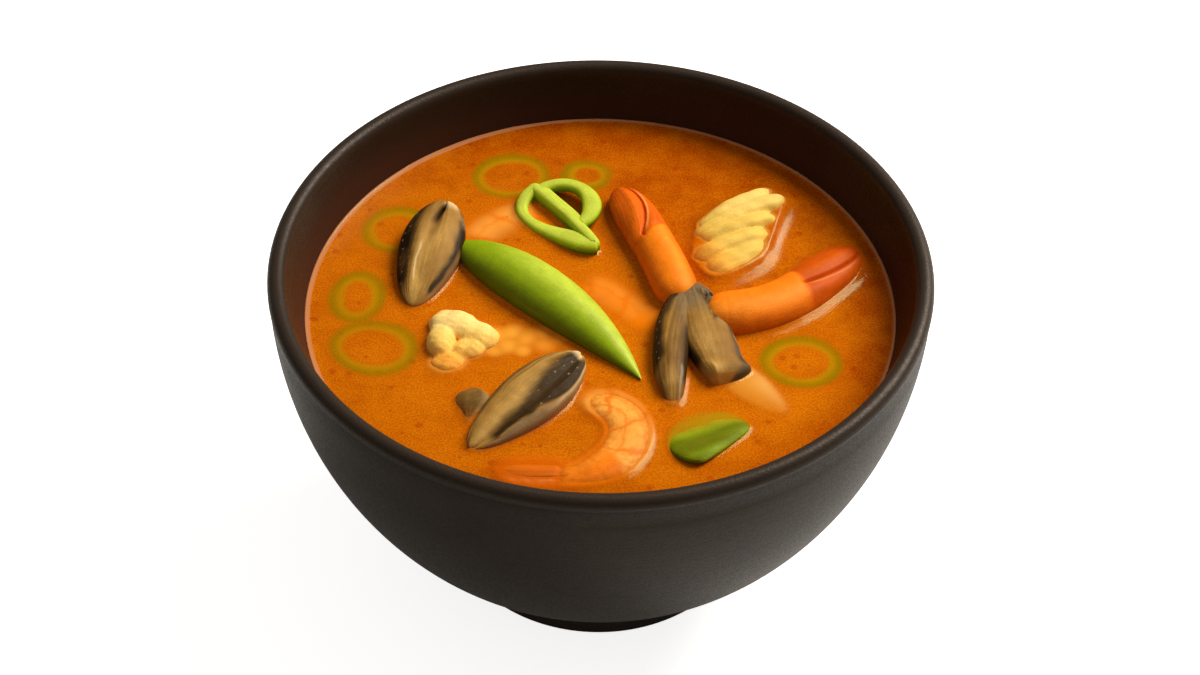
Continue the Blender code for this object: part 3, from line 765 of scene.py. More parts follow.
        # Painted shadow: the lobe's side next to the face is painted dark.
        tone = mix(tone, SKIN_AND_SHADE, 0.85 * step(0.35, 0.8, edge) * between(0.42, 0.8, 0.1, share))
        # Painted highlight: a pale glint near the lobe's end.
        tone = mix(tone, srgb(200, 184, 156), 0.4 * bell(edge, 0.62, 0.1) * between(0.76, 0.95, 0.06, share))
        return across, up, mix(tone, SKIN_MID, 0.8 * (1.0 - step(-0.3, 0.0, np.sin(turn))))

    def stalk_form(share, turn):
        across, up = mushroom_body(turn, 4.0, 1.2, egg(share))
        pale = np.clip(0.5 + 0.4 * drift(45, share * 6, np.cos(turn) * 4), 0.0, 1.0)
        tone = mix(srgb(232, 158, 52), srgb(255, 206, 112), pale * step(-0.6, 0.8, np.cos(turn)))
        return across, up, tone

    face = loft("mushroom_right_face", (19.4, 3.2), -82.0, [(28.9, 6.0)], (2.7, 0.6), face_form, 170, 170)
    lobe = loft("mushroom_right_lobe", (18.0, 2.2), -107.0, [(33.4, 25.0)], (2.4, 0.4), lobe_form, 140, 100)
    stalk_arcs = [(20.6, 0.0)]
    stalk = loft("mushroom_right_stalk", (24.2, -16.9), -48.0, stalk_arcs, (-0.9, -1.5), stalk_form, 80, 60)
    return face, lobe, stalk


def make_chip():
    def form(share, turn):
        aside = np.cos(turn)
        across, up = mushroom_body(turn, 3.1, 1.3, egg(share, 0.5))
        blotch = mottle(41, share * 5, aside * 2)
        up = up + np.where(np.sin(turn) > 0, 0.1 * blotch - 0.4 * step(-0.3, -0.9, aside), 0.0)
        tone = mix(srgb(134, 98, 44), srgb(92, 62, 24), np.clip(0.4 + 0.5 * blotch, 0.0, 1.0))
        tone = mix(tone, srgb(164, 124, 66), 0.6 * step(0.45, 0.8, aside + 0.1 * blotch))
        return across, up, tone

    mesh = loft("mushroom_sliver", (-25.4, -27.2), -97.0, [(9.4, 0.0)], (0.5, -0.2), form, 70, 70)
    return seat(mesh, "mushroom_chip", ("middle", "middle"))


# Shrimps


def shrimp_form(
    length, tail, width, fan, crown, segments, rings, groove_path, slant, waist, red, paint, seed
):
    """A peeled shrimp from the tip of its tail fan to its cut end. fan is the tail's width and crown its
    height, both as shares of the body's width. rings is how far the shell's rings still show. The groove
    between the fan's blades starts at the joint, and its path gives how far aside it lies on its way to the
    tip. slant is how much further along the joint lies on the left side, waist how far the body narrows at
    the joint and red how far the tail is darkened."""
    joint = tail / length

    def form(share, turn):
        aside = np.cos(turn)
        top = np.sin(turn) > 0
        run = np.clip((share - joint) / (1.0 - joint), 0.0, 1.0)
        tail_run = share / joint if joint else np.ones_like(share)
        joint_at = joint * (1.0 + slant * aside)
        body_share = step(joint_at - 0.035, joint_at + 0.035, share) if joint else np.ones_like(share)
        along = (run * segments) % 1.0
        opening = np.clip(run / 0.2 + 0.05, 0.0, 1.0)
        start_round = 1.0 if joint else np.sqrt(opening * (2.0 - opening))
        ahead = 1.0 - np.clip(tail_run, 0.0, 1.0)
        tail_swell = fan * (1.0 - 0.55 * ahead**4) * (1.0 - ahead**12) ** 0.5
        body_swell = (0.92 + 0.04 * run) * (1.0 - 0.05 * rings * along) * (1.0 - run**10) ** 0.5 * start_round
        body_swell = body_swell * (1.0 - waist * bell(run, 0.0, 0.2))
        size = (tail_swell * (1.0 - body_share) + body_swell * body_share) * width / 2
        across = size * aside
        round_up = np.where(top, crown, 0.8) * size * np.sin(turn)
        groove_at = groove_path[0] + groove_path[1] * ahead + groove_path[2] * ahead**2
        groove = bell(aside, groove_at, 0.06)
        # lip marks where the painted highlight beside the groove goes.
        lip = bell(aside, groove_at + np.sign(groove_path[1]) * 0.14, 0.05)
        blade = 0.8 + 0.12 * bell(aside, groove_at + 0.5, 0.3) + 0.1 * bell(aside, groove_at - 0.5, 0.3)
        blade = blade - 0.18 * groove
        ribs = drift(seed, ahead * 1.5, (aside - 0.5 * groove_at) * 26)
        tail_up = np.where(top, round_up * blade + 0.025 * ribs, round_up)
        seam = (bell(along, 0.0, 0.05) + bell(along, 1.0, 0.05)) * step(0.04, 0.08, run)
        dents = 0.1 * mottle(seed + 1, run * 6, aside * 1.6) - 0.2 * rings * seam
        body_up = round_up + np.where(top, dents, 0.0)
        up = tail_up * (1.0 - body_share) + body_up * body_share
        hinge = bell(share - joint_at, -0.01, 0.014) if joint else 0.0 * share
        up = up - np.where(top, 0.2 * hinge, 0.0)

        waves = mottle(seed + 2, run * 4, aside * 1.3)
        # Painted shade darkens both sides of the body and painted light brightens one side; the waves are the
        # flesh's own uneven tone.
        deeper_and_shaded = np.clip(0.2 + 0.15 * waves + 0.6 * step(0.4, 0.9, np.abs(aside)), 0.0, 1.0)
        body = mix(SHRIMP, SHRIMP_DEEP_AND_SHADE, deeper_and_shaded)
        body = mix(body, SHRIMP_LIT_SIDE, 0.55 * bell(aside, 0.4, 0.35))
        body = mix(body, SHRIMP_RED, 0.3 * rings * seam)
        if paint:
            body = paint(body, run, aside)
        blades = mix(TAIL, TAIL_DARK, np.clip(0.25 + 0.3 * ribs, 0.0, 0.8) * step(0.0, 0.15, ahead))
        blades = mix(blades, TAIL_LIGHT, 0.35 * bell(aside, groove_at - np.sign(groove_path[1]) * 0.5, 0.3))
        blades = mix(blades, SHRIMP_RED, 0.85 * groove)
        # Painted highlight: a thin pale line beside the groove.
        blades = mix(blades, TAIL_GROOVE_HIGHLIGHT, 0.7 * lip * step(0.0, 0.1, ahead) * (1.0 - step(0.6, 0.9, ahead)))
        blades = mix(blades, TAIL_TIP, np.clip(red + 0.5 * step(0.6, 1.0, ahead), 0.0, 0.9))
        tone = mix(blades, body, body_share)
        return across, up, mix(tone, SHRIMP_RED, 0.35 * hinge)

    return form


def pale_cells(low, high, inner, outer, across_lines, strength):
    """Pale polygons between low and high along the body and between inner and outer across it, with orange
    lines between them."""

    def paint(body, run, aside):
        wave = 0.2 * mottle(49, run * 5, aside * 1.5)
        slant = (run - low) / (high - low) * across_lines + 0.35 * aside + wave
        line = bell(slant % 1.0, 0.0, 0.07) + bell(slant % 1.0, 1.0, 0.07)
        split = bell(aside + wave, inner + 0.72 * (outer - inner), 0.06)
        line = np.clip(line + 0.6 * split, 0.0, 1.0)
        field = between(low, high, 0.08, run + 0.3 * wave) * between(inner, outer, 0.3, aside + 0.9 * wave)
        shade = 0.75 + 0.3 * mottle(48, run * 7, aside * 2)
        painted = mix(body, SHRIMP_PALE, np.clip(strength * field * (1.0 - 0.8 * line) * shade, 0.0, 1.0))
        return mix(painted, SHRIMP_DEEP_AND_SHADE, 0.3 * line * field)

    return paint


def make_shrimps():
    """Each is laid by its tail's tip, its heading there, the arcs of its spine, the tail's length, its width,
    the fan's width and the crown's height as shares of that, and the spine's heights at the two ends. Its
    shell has its segments, how far their rings show, the groove's path, the joint's slant, the body's waist,
    how far the tail is darkened, and how the body is painted."""
    curl = [(15.0, 6.0), (19.0, 86.0), (15.5, 112.0)]
    bend = [(20.5, -8.0), (23.0, -50.0)]
    laid = {
        "centre": ((3.2, 35.4), -62.0, [(39.5, -14.0)], 18.5, 10.4, 0.95, 0.84, (2.0, 1.6)),
        "right": ((56.2, 18.6), -127.0, bend, 20.0, 12.6, 0.95, 0.84, (-0.8, 1.2)),
        "front": ((-22.0, -49.3), -8.0, curl, 15.0, 12.0, 0.74, 0.5, (-1.0, -1.5)),
        "back": ((-28.6, 19.4), 62.0, [(18.5, -50.0)], 0.0, 13.0, 1.0, 0.6, (-3.8, -3.5)),
        "middle": ((-4.0, 8.2), -38.0, [(24.0, -12.0)], 0.0, 12.2, 1.0, 0.6, (-3.6, -3.4)),
    }
    curled = pale_cells(0.4, 1.0, -0.85, 0.5, 2.9, 1.0)
    sunk = pale_cells(0.1, 1.0, -0.7, 0.5, 2.0, 1.0)
    faint = pale_cells(0.15, 0.7, -0.5, 0.4, 1.5, 0.3)
    left_way, right_way, low_way = (-0.45, 2.5, -1.7), (0.1, 1.0, -0.6), (-0.2, -0.5, 0.3)
    shells = {
        "centre": (5, 0.1, left_way, -0.12, 0.0, 0.0, None),
        "right": (5, 0.1, right_way, 0.1, 0.0, 0.45, None),
        "front": (5, 0.2, low_way, 0.05, 0.3, 0.15, curled),
        "back": (3, 0.1, left_way, 0.0, 0.0, 0.0, sunk),
        "middle": (3, 0.2, left_way, 0.0, 0.0, 0.0, faint),
    }
    made = {}
    for number, (place, measures) in enumerate(laid.items()):
        start, heading, arcs, tail, width, fan, crown, heights = measures
        length = sum(run for run, _ in arcs)
        form = shrimp_form(length, tail, width, fan, crown, *shells[place], 50 + 7 * number)
        mesh = loft(f"shrimp_{place}_peeled", start, heading, arcs, heights, form, 170, 110)
        made[f"shrimp_{place}"] = mesh
    return made


# Pale pieces: lobes melted into one another


def ellipsoid_points(centre, radii, heading, bluntness, rows=28, columns=36):
    angles = np.linspace(0.02, np.pi - 0.02, rows)
    turns = np.linspace(0.0, math.tau, columns, endpoint=False)
    angle, turn = np.meshgrid(angles, turns, indexing="ij")
    x = np.sign(np.cos(angle)) * np.abs(np.cos(angle)) ** bluntness
    y, z = np.sin(angle) * np.cos(turn), np.sin(angle) * np.sin(turn)
    points = np.stack([x, y, z], axis=-1) * np.array(radii)
    return turned_about(points, centre[:2], heading, centre[2])


def melted(name, lobes, bluntness, size, smooth, shape=None):
    """Joins the lobes' bodies into one skin on a fine grid, smooths it and shapes it with a function of its
    points and outward directions."""
    parts = bpy.data.meshes.new(name + "_lobes")
    points, faces, start = [], [], 0
    for centre, radii, heading in lobes:
        body = ellipsoid_points(centre, radii, heading, bluntness)
        lump = grid_mesh("lobe", body)
        points += [tuple(corner.co) for corner in lump.vertices]
        faces += [[k + start for k in face.vertices] for face in lump.polygons]
        start += len(lump.vertices)
        bpy.data.meshes.remove(lump)
    parts.from_pydata(points, [], faces)
    carrier = bpy.data.objects.new(name + "_lobes", parts)
    bpy.context.scene.collection.objects.link(carrier)
    skin = carrier.modifiers.new("skin", "REMESH")
    skin.mode = "VOXEL"
    skin.voxel_size = size * MM
    soften = carrier.modifiers.new("soften", "SMOOTH")
    soften.iterations = smooth
    soften.factor = 0.5
    bpy.context.view_layer.update()
    mesh = bpy.data.meshes.new_from_object(carrier.evaluated_get(bpy.context.evaluated_depsgraph_get()))
    bpy.data.objects.remove(carrier)
    mesh.name = name
    if shape:
        places, normals = vertex_arrays(mesh)
        moved = shape(places / MM, normals) * MM
        mesh.vertices.foreach_set("co", moved.astype(np.float32).ravel())
        mesh.update()
    return mesh


def vertex_arrays(mesh):
    places = np.empty(len(mesh.vertices) * 3, dtype=np.float32)
    mesh.vertices.foreach_get("co", places)
    normals = np.array([corner.normal[:] for corner in mesh.vertices])
    return places.reshape(-1, 3).astype(float), normals


def hollows(mesh, reach):
    """How hollow the skin is at each point, from 0 to 1: deep in creases, 0 on crowns."""
    places, normals = vertex_arrays(mesh)
    pairs = np.array([edge.vertices[:] for edge in mesh.edges])
    value = np.zeros(len(places))
    count = np.zeros(len(places))
    for first, second in ((0, 1), (1, 0)):
        toward = places[pairs[:, second]] - places[pairs[:, first]]
        dots = (toward * normals[pairs[:, first]]).sum(1) / np.maximum(np.linalg.norm(toward, axis=1), 1e-9)
        np.add.at(value, pairs[:, first], dots)
        np.add.at(count, pairs[:, first], 1)
    value = value / np.maximum(count, 1)
    for _ in range(reach):
        spread = np.zeros(len(places))
        np.add.at(spread, pairs[:, 0], value[pairs[:, 1]])
        np.add.at(spread, pairs[:, 1], value[pairs[:, 0]])
        value = 0.5 * value + 0.5 * spread / np.maximum(count, 1)
    return value


def make_pale_lump():
    lobes = [
        ((-31.0, -8.4, 0.2), (5.4, 4.2, 3.2), -10),
        ((-25.8, -11.2, 0.0), (5.0, 3.9, 2.9), -20),
        ((-33.4, -13.2, 0.0), (3.2, 5.0, 3.2), 0),
        ((-27.6, -15.4, -0.6), (3.8, 3.2, 2.8), 20),
        ((-31.6, -18.8, -1.4), (4.4, 3.6, 2.8), 10),
    ]

    def shape(points, normals):
        swell = 0.2 * drift(61, points[:, 0] * 0.6, points[:, 1] * 0.6)
        swell = swell + 0.05 * drift(62, points[:, 0] * 2.4, points[:, 1] * 2.4) - 0.1
        return points + normals * swell[:, None]

    mesh = melted("pale_lump_cooked", lobes, 0.85, 0.3, 5, shape)
    places, normals = vertex_arrays(mesh)
    x, y, z = places.T / MM
    hollow = step(0.03, 0.14, hollows(mesh, 3))
    cells = bell(drift(63, x * 1.3, y * 1.3), 0.0, 0.16) * step(-14.0, -19.0, y - 0.8 * x - 26.0)
    tone = mix(LUMP, PALE_WARM, np.clip(0.6 * hollow + 0.35 * cells, 0.0, 1.0))
    tone = mix(tone, LUMP_LIGHT, 0.8 * step(-14.5, -9.0, y) * step(0.4, 2.2, z - LEVEL))
    tone = mix(tone, srgb(250, 160, 48), 0.8 * step(-15.5, -19.0, y))
    tag(mesh, "tone", tone)
    tag(mesh, "way", places / MM)
    return mesh


def make_pale_bundle():
    heading, middle = 33.0, (29.5, 22.5)
    fingers = [
        (4.2, 6.2, 0.6, 10.8, 2.7, 7),
        (3.8, 3.2, 1.1, 12.4, 2.9, 1),
        (1.2, 0.2, 0.8, 9.6, 2.7, -6),
        (-3.6, -3.7, 0.6, 9.8, 3.5, -2),
        (-5.0, -7.4, 0.1, 8.8, 3.5, 6),
    ]
    turn = math.radians(heading)
    lobes = []
    for ahead, aside, up, half_length, half_width, fan in fingers:
        x = middle[0] + ahead * math.cos(turn) - aside * math.sin(turn)
        y = middle[1] + ahead * math.sin(turn) + aside * math.cos(turn)
        lobes.append(((x, y, up), (half_length, half_width, 3.2), heading + fan))

    def own_way(points):
        along = (points[:, 0] - middle[0]) * math.cos(turn) + (points[:, 1] - middle[1]) * math.sin(turn)
        aside = -(points[:, 0] - middle[0]) * math.sin(turn) + (points[:, 1] - middle[1]) * math.cos(turn)
        return along, aside

    def shape(points, normals):
        along, aside = own_way(points)
        ridges = 0.14 * drift(64, along * 0.14, aside * 2.6)
        return points + normals * (ridges + 0.16 * drift(65, along * 0.5, aside * 0.7))[:, None]

    mesh = melted("pale_bundle_cooked", lobes, 0.7, 0.3, 12, shape)
    places, normals = vertex_arrays(mesh)
    points = places / MM
    along, aside = own_way(points)
    hollow = step(0.03, 0.14, hollows(mesh, 3))
    # Painted shade: the creases between the fingers are painted darker.
    tone = mix(PALE, srgb(216, 178, 70), 0.8 * hollow)
    tone = mix(tone, PALE_LIGHT, 0.6 * bell(aside, 5.0, 3.4) * step(-4.0, 4.0, along))
    tone = mix(tone, PALE_WARM, 0.6 * step(-4.0, -10.0, along))
    tone = mix(tone, BROTH, 0.5 * step(-8.0, -13.0, along))
    tag(mesh, "tone", tone)
    tag(mesh, "way", np.stack([aside, along, points[:, 2]], axis=-1))
    return mesh


# Sliced greens


def band(name, centre, radii, heading, lift, half_height, half_thick, slope, swell, lean):
    """A closed band of leaf, rounded on top and drawn in at its foot. It is bowed by the second radius on its
    left and by the third on its right. slope is how much higher its left stands than its right, for each
    millimetre across, swell how much thicker it grows and the turn at which it does, and lean how far its
    right bow is drawn back."""
    turns = np.linspace(0.0, math.tau, 180, endpoint=False)
    angles = np.linspace(0.0, math.tau, 32, endpoint=False)
    turn, angle = np.meshgrid(turns, angles, indexing="ij")
    up = half_height * np.abs(np.sin(angle)) ** 0.7 * np.sign(np.sin(angle))
    out = half_thick * np.abs(np.cos(angle)) ** 0.8 * np.sign(np.cos(angle))
    wider = swell[0] * bell(turn, swell[1], 0.8)
    out = out * (1.0 + 0.12 * drift(72, np.cos(turn) * 2, np.sin(turn) * 2) + wider)
    up = up + 0.08 * drift(71, turn * 3, angle)
    bow = np.where(np.sin(turn) > 0, radii[1], radii[2] * (1.0 - lean * np.cos(turn)))
    x, y = radii[0] * np.cos(turn), bow * np.sin(turn)
    nx, ny = np.cos(turn) * bow, radii[0] * np.sin(turn)
    size = np.hypot(nx, ny)
    z = up + slope * y
    x, y = x + out * nx / size, y + out * ny / size
    points = turned_about(np.stack([x, y, z], axis=-1), centre, heading, lift)
    points = np.concatenate([points, points[:1]])
    mesh = grid_mesh(name, points, cap=False)
    edge = np.concatenate([up, up[:1]])
    outward = np.concatenate([out, out[:1]])
    round_way = np.concatenate([turn, turn[:1] + math.tau])
    # Painted shade: the band's sides and foot are painted darker green than its top.
    top = step(-0.2, 0.75, edge / half_height)
    tone = mix(GREEN_SHADED_SIDE, GREEN_TOP, top)
    tone = mix(tone, GREEN_INNER, 0.55 * step(0.75, 0.98, edge / half_height))
    tone = mix(tone, srgb(140, 158, 34), 0.6 * step(0.0, -0.8, outward / half_thick) * (1 - top))
    tag(mesh, "tone", tone)
    tag(mesh, "way", np.stack([edge, round_way * 6.0, outward], axis=-1))
    mesh.validate()
    return mesh


def make_loops():
    """A low loop with one long raised side, and a high one that springs from that side and comes back to
    it."""
    low = band(
        "green_loop_low_slice", (-8.4, 26.2), (11.5, 0.6, 5.4), -53.5, 1.2, 1.7, 1.5, 0.25, (0.9, 5.6), 0.75
    )
    high = band(
        "green_loop_high_slice", (-9.4, 29.2), (7.4, 7.0, -0.3), -52.5, 1.6, 1.25, 1.45, 0.15, (0.55, 0.9), 0
    )
    return {"green_loop_low": low, "green_loop_high": high}


def make_onion_rings():
    rings = [
        ((-20.8, 41.9), (9.2, 8.2), 8),
        ((-3.5, 42.7), (6.0, 5.6), 0),
        ((-45.3, 22.6), (8.0, 8.0), 0),
        ((-52.2, 0.5), (6.1, 8.2), 0),
        ((-47.4, -15.0), (9.6, 8.3), -17.5),
        ((42.1, -17.3), (8.8, 7.8), 0),
    ]
    wall, half_height, shows = 1.55, 1.1, -0.25
    turns = np.linspace(0.0, math.tau, 121)
    angles = np.linspace(0.0, math.tau, 24, endpoint=False)
    turn, angle = np.meshgrid(turns, angles, indexing="ij")
    made = {}
    for number, (centre, radii, heading) in enumerate(rings, 1):
        off = np.sign(np.cos(angle)) * np.abs(np.cos(angle)) ** 0.8
        uneven = 1.0 + 0.03 * drift(80 + number, np.cos(turn) * 2, np.sin(turn) * 2)
        thick = wall * (1.0 + 0.15 * drift(90 + number, np.cos(turn) * 2, np.sin(turn) * 2))
        x = np.cos(turn) * (radii[0] - wall + off * thick) * uneven
        y = np.sin(turn) * (radii[1] - wall + off * thick) * uneven
        z = half_height * np.sign(np.sin(angle)) * np.abs(np.sin(angle)) ** 0.6 - half_height + shows
        z = z + 0.12 * drift(70 + number, np.cos(turn) * 2, np.sin(turn) * 2) - 0.1
        places = turned_about(np.stack([x, y, z], axis=-1), centre, heading)
        mesh = grid_mesh(f"onion_ring_{number}_slice", places, cap=False)
        tag(mesh, "tone", mix(RING_INSIDE, RING_EDGE, step(-0.6, 0.7, off)))
        tag(mesh, "way", np.stack([off * wall, turn * 7, z], axis=-1))
        made[f"onion_ring_{number}"] = mesh
    return made


def make_leaf():
    """A flat oval slice with one side cut straight. It is tipped, so that its far side dips under the
    broth."""
    radii, half_thick, cut, cut_turn, tilt = (9.0, 7.8), 1.1, 4.3, math.radians(-67.2), math.radians(-11.0)
    inward = np.linspace(0.0, 1.0, 40)
    shares = np.concatenate([inward, inward[-2:0:-1]])
    faces_up = np.concatenate([np.ones(40), -np.ones(38)])
    turns = np.linspace(0.0, math.tau, 160, endpoint=False)
    share, turn = np.meshgrid(shares, turns, indexing="ij")
    reach = 1.0 / np.hypot(np.cos(turn) / radii[0], np.sin(turn) / radii[1])
    toward = np.maximum(np.cos(turn - cut_turn), 1e-3)
    reach = np.where(np.cos(turn - cut_turn) > 0, (reach**-8.0 + (cut / toward) ** -8.0) ** -0.125, reach)
    x, y = np.cos(turn) * reach * share, np.sin(turn) * reach * share
    bulge = half_thick * np.sqrt(np.clip(1.0 - share**6, 0.0, 1.0))
    z = bulge * faces_up[:, None]
    z = z + np.where(faces_up[:, None] > 0, 0.08 * drift(92, x * 0.5, y * 0.9), 0.0)
    tipped_y, tipped_z = y * math.cos(tilt) - z * math.sin(tilt), y * math.sin(tilt) + z * math.cos(tilt)
    placed = turned_about(np.stack([x, tipped_y, tipped_z], axis=-1), (22.6, -40.0), 23.3)
    mesh = grid_mesh("leaf_slice", placed)
    edge = np.cos(turn - cut_turn) * reach * share
    tone = mix(LEAF, srgb(122, 146, 6), np.clip(0.3 + 0.4 * drift(91, x * 0.4, y * 1.3), 0.0, 1.0))
    # Painted highlight: a paler green line along the straight cut edge.
    tone = mix(tone, srgb(150, 176, 40), 0.7 * step(cut - 0.9, cut - 0.2, edge) * step(0.9, 0.97, share))
    tone = mix(tone, srgb(170, 150, 20), 0.7 * step(0.5, 4.0, y))
    tag(mesh, "tone", np.clip(tone, 0, 1))
    tag(mesh, "way", np.stack([y, x, z], axis=-1))
    return mesh


# What lies under the broth


def make_sunk_bits():
    """Crumbs of the pale lump that trail off to its right, just under the surface."""
    dice = np.random.default_rng(7)
    spots = [
        (-22.0, -11.0, 3.4),
        (-18.6, -9.8, 3.0),
        (-19.2, -13.8, 2.8),
        (-15.2, -11.4, 3.2),
        (-11.8, -10.0, 2.6),
    ]
    spots += [(-11.4, -13.2, 3.0), (-8.2, -11.2, 2.4), (-16.0, -15.2, 2.0), (-22.6, -15.0, 2.4)]
    lobes = []
    for x, y, size in spots:
        stretch = dice.uniform(0.85, 1.2)
        radii = (size * stretch, size / stretch, 0.66 * size)
        lobes.append(((x, y, 0.05 - 0.7 * size), radii, dice.uniform(0, 180)))
    mesh = melted("pale_crumbs", lobes, 1.0, 0.3, 4)
    places, _ = vertex_arrays(mesh)
    x = places[:, 0] / MM
    tag(mesh, "tone", mix(srgb(252, 178, 62), srgb(246, 150, 40), step(-20.0, -8.0, x)))
    tag(mesh, "way", places / MM)
    return mesh


# The broth's surface


def tree_of(mesh):
    corners = [corner.co[:] for corner in mesh.vertices]
    return BVHTree.FromPolygons(corners, [face.vertices[:] for face in mesh.polygons])


def inside_of(search, spot):
    """Whether the spot is inside a closed body: whether a line straight up from it leaves it an odd number
    of times."""
    crossings = 0
    start = spot.copy()
    while crossings < 20:
        place, _, _, _ = search.ray_cast(start, Vector((0.0, 0.0, 1.0)))
        if place is None:
            break
        crossings += 1
        start = place + Vector((0.0, 0.0, 1e-6))
    return crossings % 2 == 1


def hull_of(mesh):
    """The smallest bulging body round the mesh, with as many points as the mesh has round its outside."""
    bm = bmesh.new()
    bm.from_mesh(mesh)
    bmesh.ops.delete(bm, geom=bm.faces[:] + bm.edges[:], context="EDGES_FACES")
    wrapped = bmesh.ops.convex_hull(bm, input=bm.verts[:])
    bmesh.ops.delete(bm, geom=wrapped["geom_interior"], context="VERTS")
    hull = bpy.data.meshes.new(mesh.name + "_outline")
    bm.to_mesh(hull)
    bm.free()
    return hull


def disc_grid(count):
    """Points of the unit disc in square rows and columns, even in area."""
    line = np.linspace(-1.0, 1.0, count)
    a, b = np.meshgrid(line, line, indexing="ij")
    wide = np.abs(a) > np.abs(b)
    radius = np.where(wide, a, b)
    safe = np.where(radius == 0, 1.0, radius)
    angle = np.where(wide, np.pi / 4 * (b / safe), np.pi / 2 - np.pi / 4 * (a / safe))
    return radius * np.cos(angle), radius * np.sin(angle)


def climb_at(off, climb, reach):
    """How high the broth stands above its level this far from what it wets."""
    far = math.exp(-CLIMB_WINDOW)
    away = np.exp(-np.clip(off / reach, 0.0, CLIMB_WINDOW))
    return climb * np.clip(away - far, 0.0, 1.0) / (1.0 - far)


def box_around(bodies, margin):
    """For each body, the low and high corners of its box, a margin larger."""
    places = [np.array([corner.co[:] for corner in body.vertices]) / MM for body in bodies]
    return [(place.min(0) - margin, place.max(0) + margin) for place in places]


def offsets(x, y, wetted):
    """How far each point of the level surface is from each piece: 0 inside it, and far where it is out of
    reach."""
    offs = np.full((len(wetted), len(x)), FAR)
    boxes = box_around([mesh for mesh, *_ in wetted], 6.0)
    for number, (mesh, *_) in enumerate(wetted):
        low, high = boxes[number]
        search = tree_of(mesh)
        for k in np.flatnonzero((x > low[0]) & (x < high[0]) & (y > low[1]) & (y < high[1])):
            spot = Vector((x[k] * MM, y[k] * MM, LEVEL * MM))
            place, _, _, distance = search.find_nearest(spot, 8 * MM)
            if place is not None:
                offs[number, k] = 0.0 if inside_of(search, spot) else distance / MM
    return offs


def broth_plan(edge, wetted):
    """A flat mesh over the whole surface, twice as fine near the pieces and four times as fine beside
    them."""
    x, y = disc_grid(BROTH_ROWS)
    plan = bmesh.new()
    corners = [plan.verts.new((a, b, 0.0)) for a, b in zip(x.ravel() * edge, y.ravel() * edge)]
    index = np.arange(BROTH_ROWS**2).reshape(BROTH_ROWS, BROTH_ROWS)
    squares = np.stack([index[:-1, :-1], index[1:, :-1], index[1:, 1:], index[:-1, 1:]], axis=-1)
    for face in squares.reshape(-1, 4):
        plan.faces.new([corners[k] for k in face])
    for reach in FINER_WITHIN:
        places = np.array([corner.co[:2] for corner in plan.verts])
        from_pieces = offsets(places[:, 0], places[:, 1], wetted).min(0)
        near = np.minimum(from_pieces, edge - np.hypot(*places.T) + 0.01)
        beside = (near > 0.0) & (near < reach)
        plan.verts.ensure_lookup_table()
        parted = [line for line in plan.edges if beside[line.verts[0].index] or beside[line.verts[1].index]]
        bmesh.ops.subdivide_edges(plan, edges=parted, cuts=1, use_grid_fill=True)
        plan.verts.index_update()
    for corner in plan.verts:
        if corner.is_boundary:
            corner.co *= edge / corner.co.length
    return plan


def seen_through(x, y, rise, wetted):
    """What is seen through the broth at each point: the share of light that comes from food, and its
    colour."""
    shares, colours = np.zeros(len(x)), np.zeros((len(x), 3))
    boxes = box_around([mesh for mesh, *_ in wetted], 2.0)
    slants = [Vector(slant).normalized() for slant in SIGHT_LINES]
    for number, (mesh, *_) in enumerate(wetted):
        tones = np.empty(len(mesh.vertices) * 4, dtype=np.float32)
        mesh.attributes["tone"].data.foreach_get("color", tones)
        tones = tones.reshape(-1, 4)[:, :3]
        firsts = np.array([face.vertices[0] for face in mesh.polygons])
        search, (low, high) = tree_of(mesh), boxes[number]
        for k in np.flatnonzero((x > low[0]) & (x < high[0]) & (y > low[1]) & (y < high[1])):
            above = max(rise[k], 0.3)
            origin = Vector((x[k] * MM, y[k] * MM, (LEVEL + above) * MM))
            total, colour = 0.0, np.zeros(3)
            for slant in slants:
                _, _, face, distance = search.ray_cast(origin, slant, 5 * MM)
                if face is not None:
                    share = math.exp(-max(0.0, distance / MM - above + rise[k]) / CLARITY)
                    total += share
                    colour = colour + share * tones[firsts[face]]
            if total / len(slants) > shares[k]:
                shares[k], colours[k] = total / len(slants), colour / total
    return shares, colours


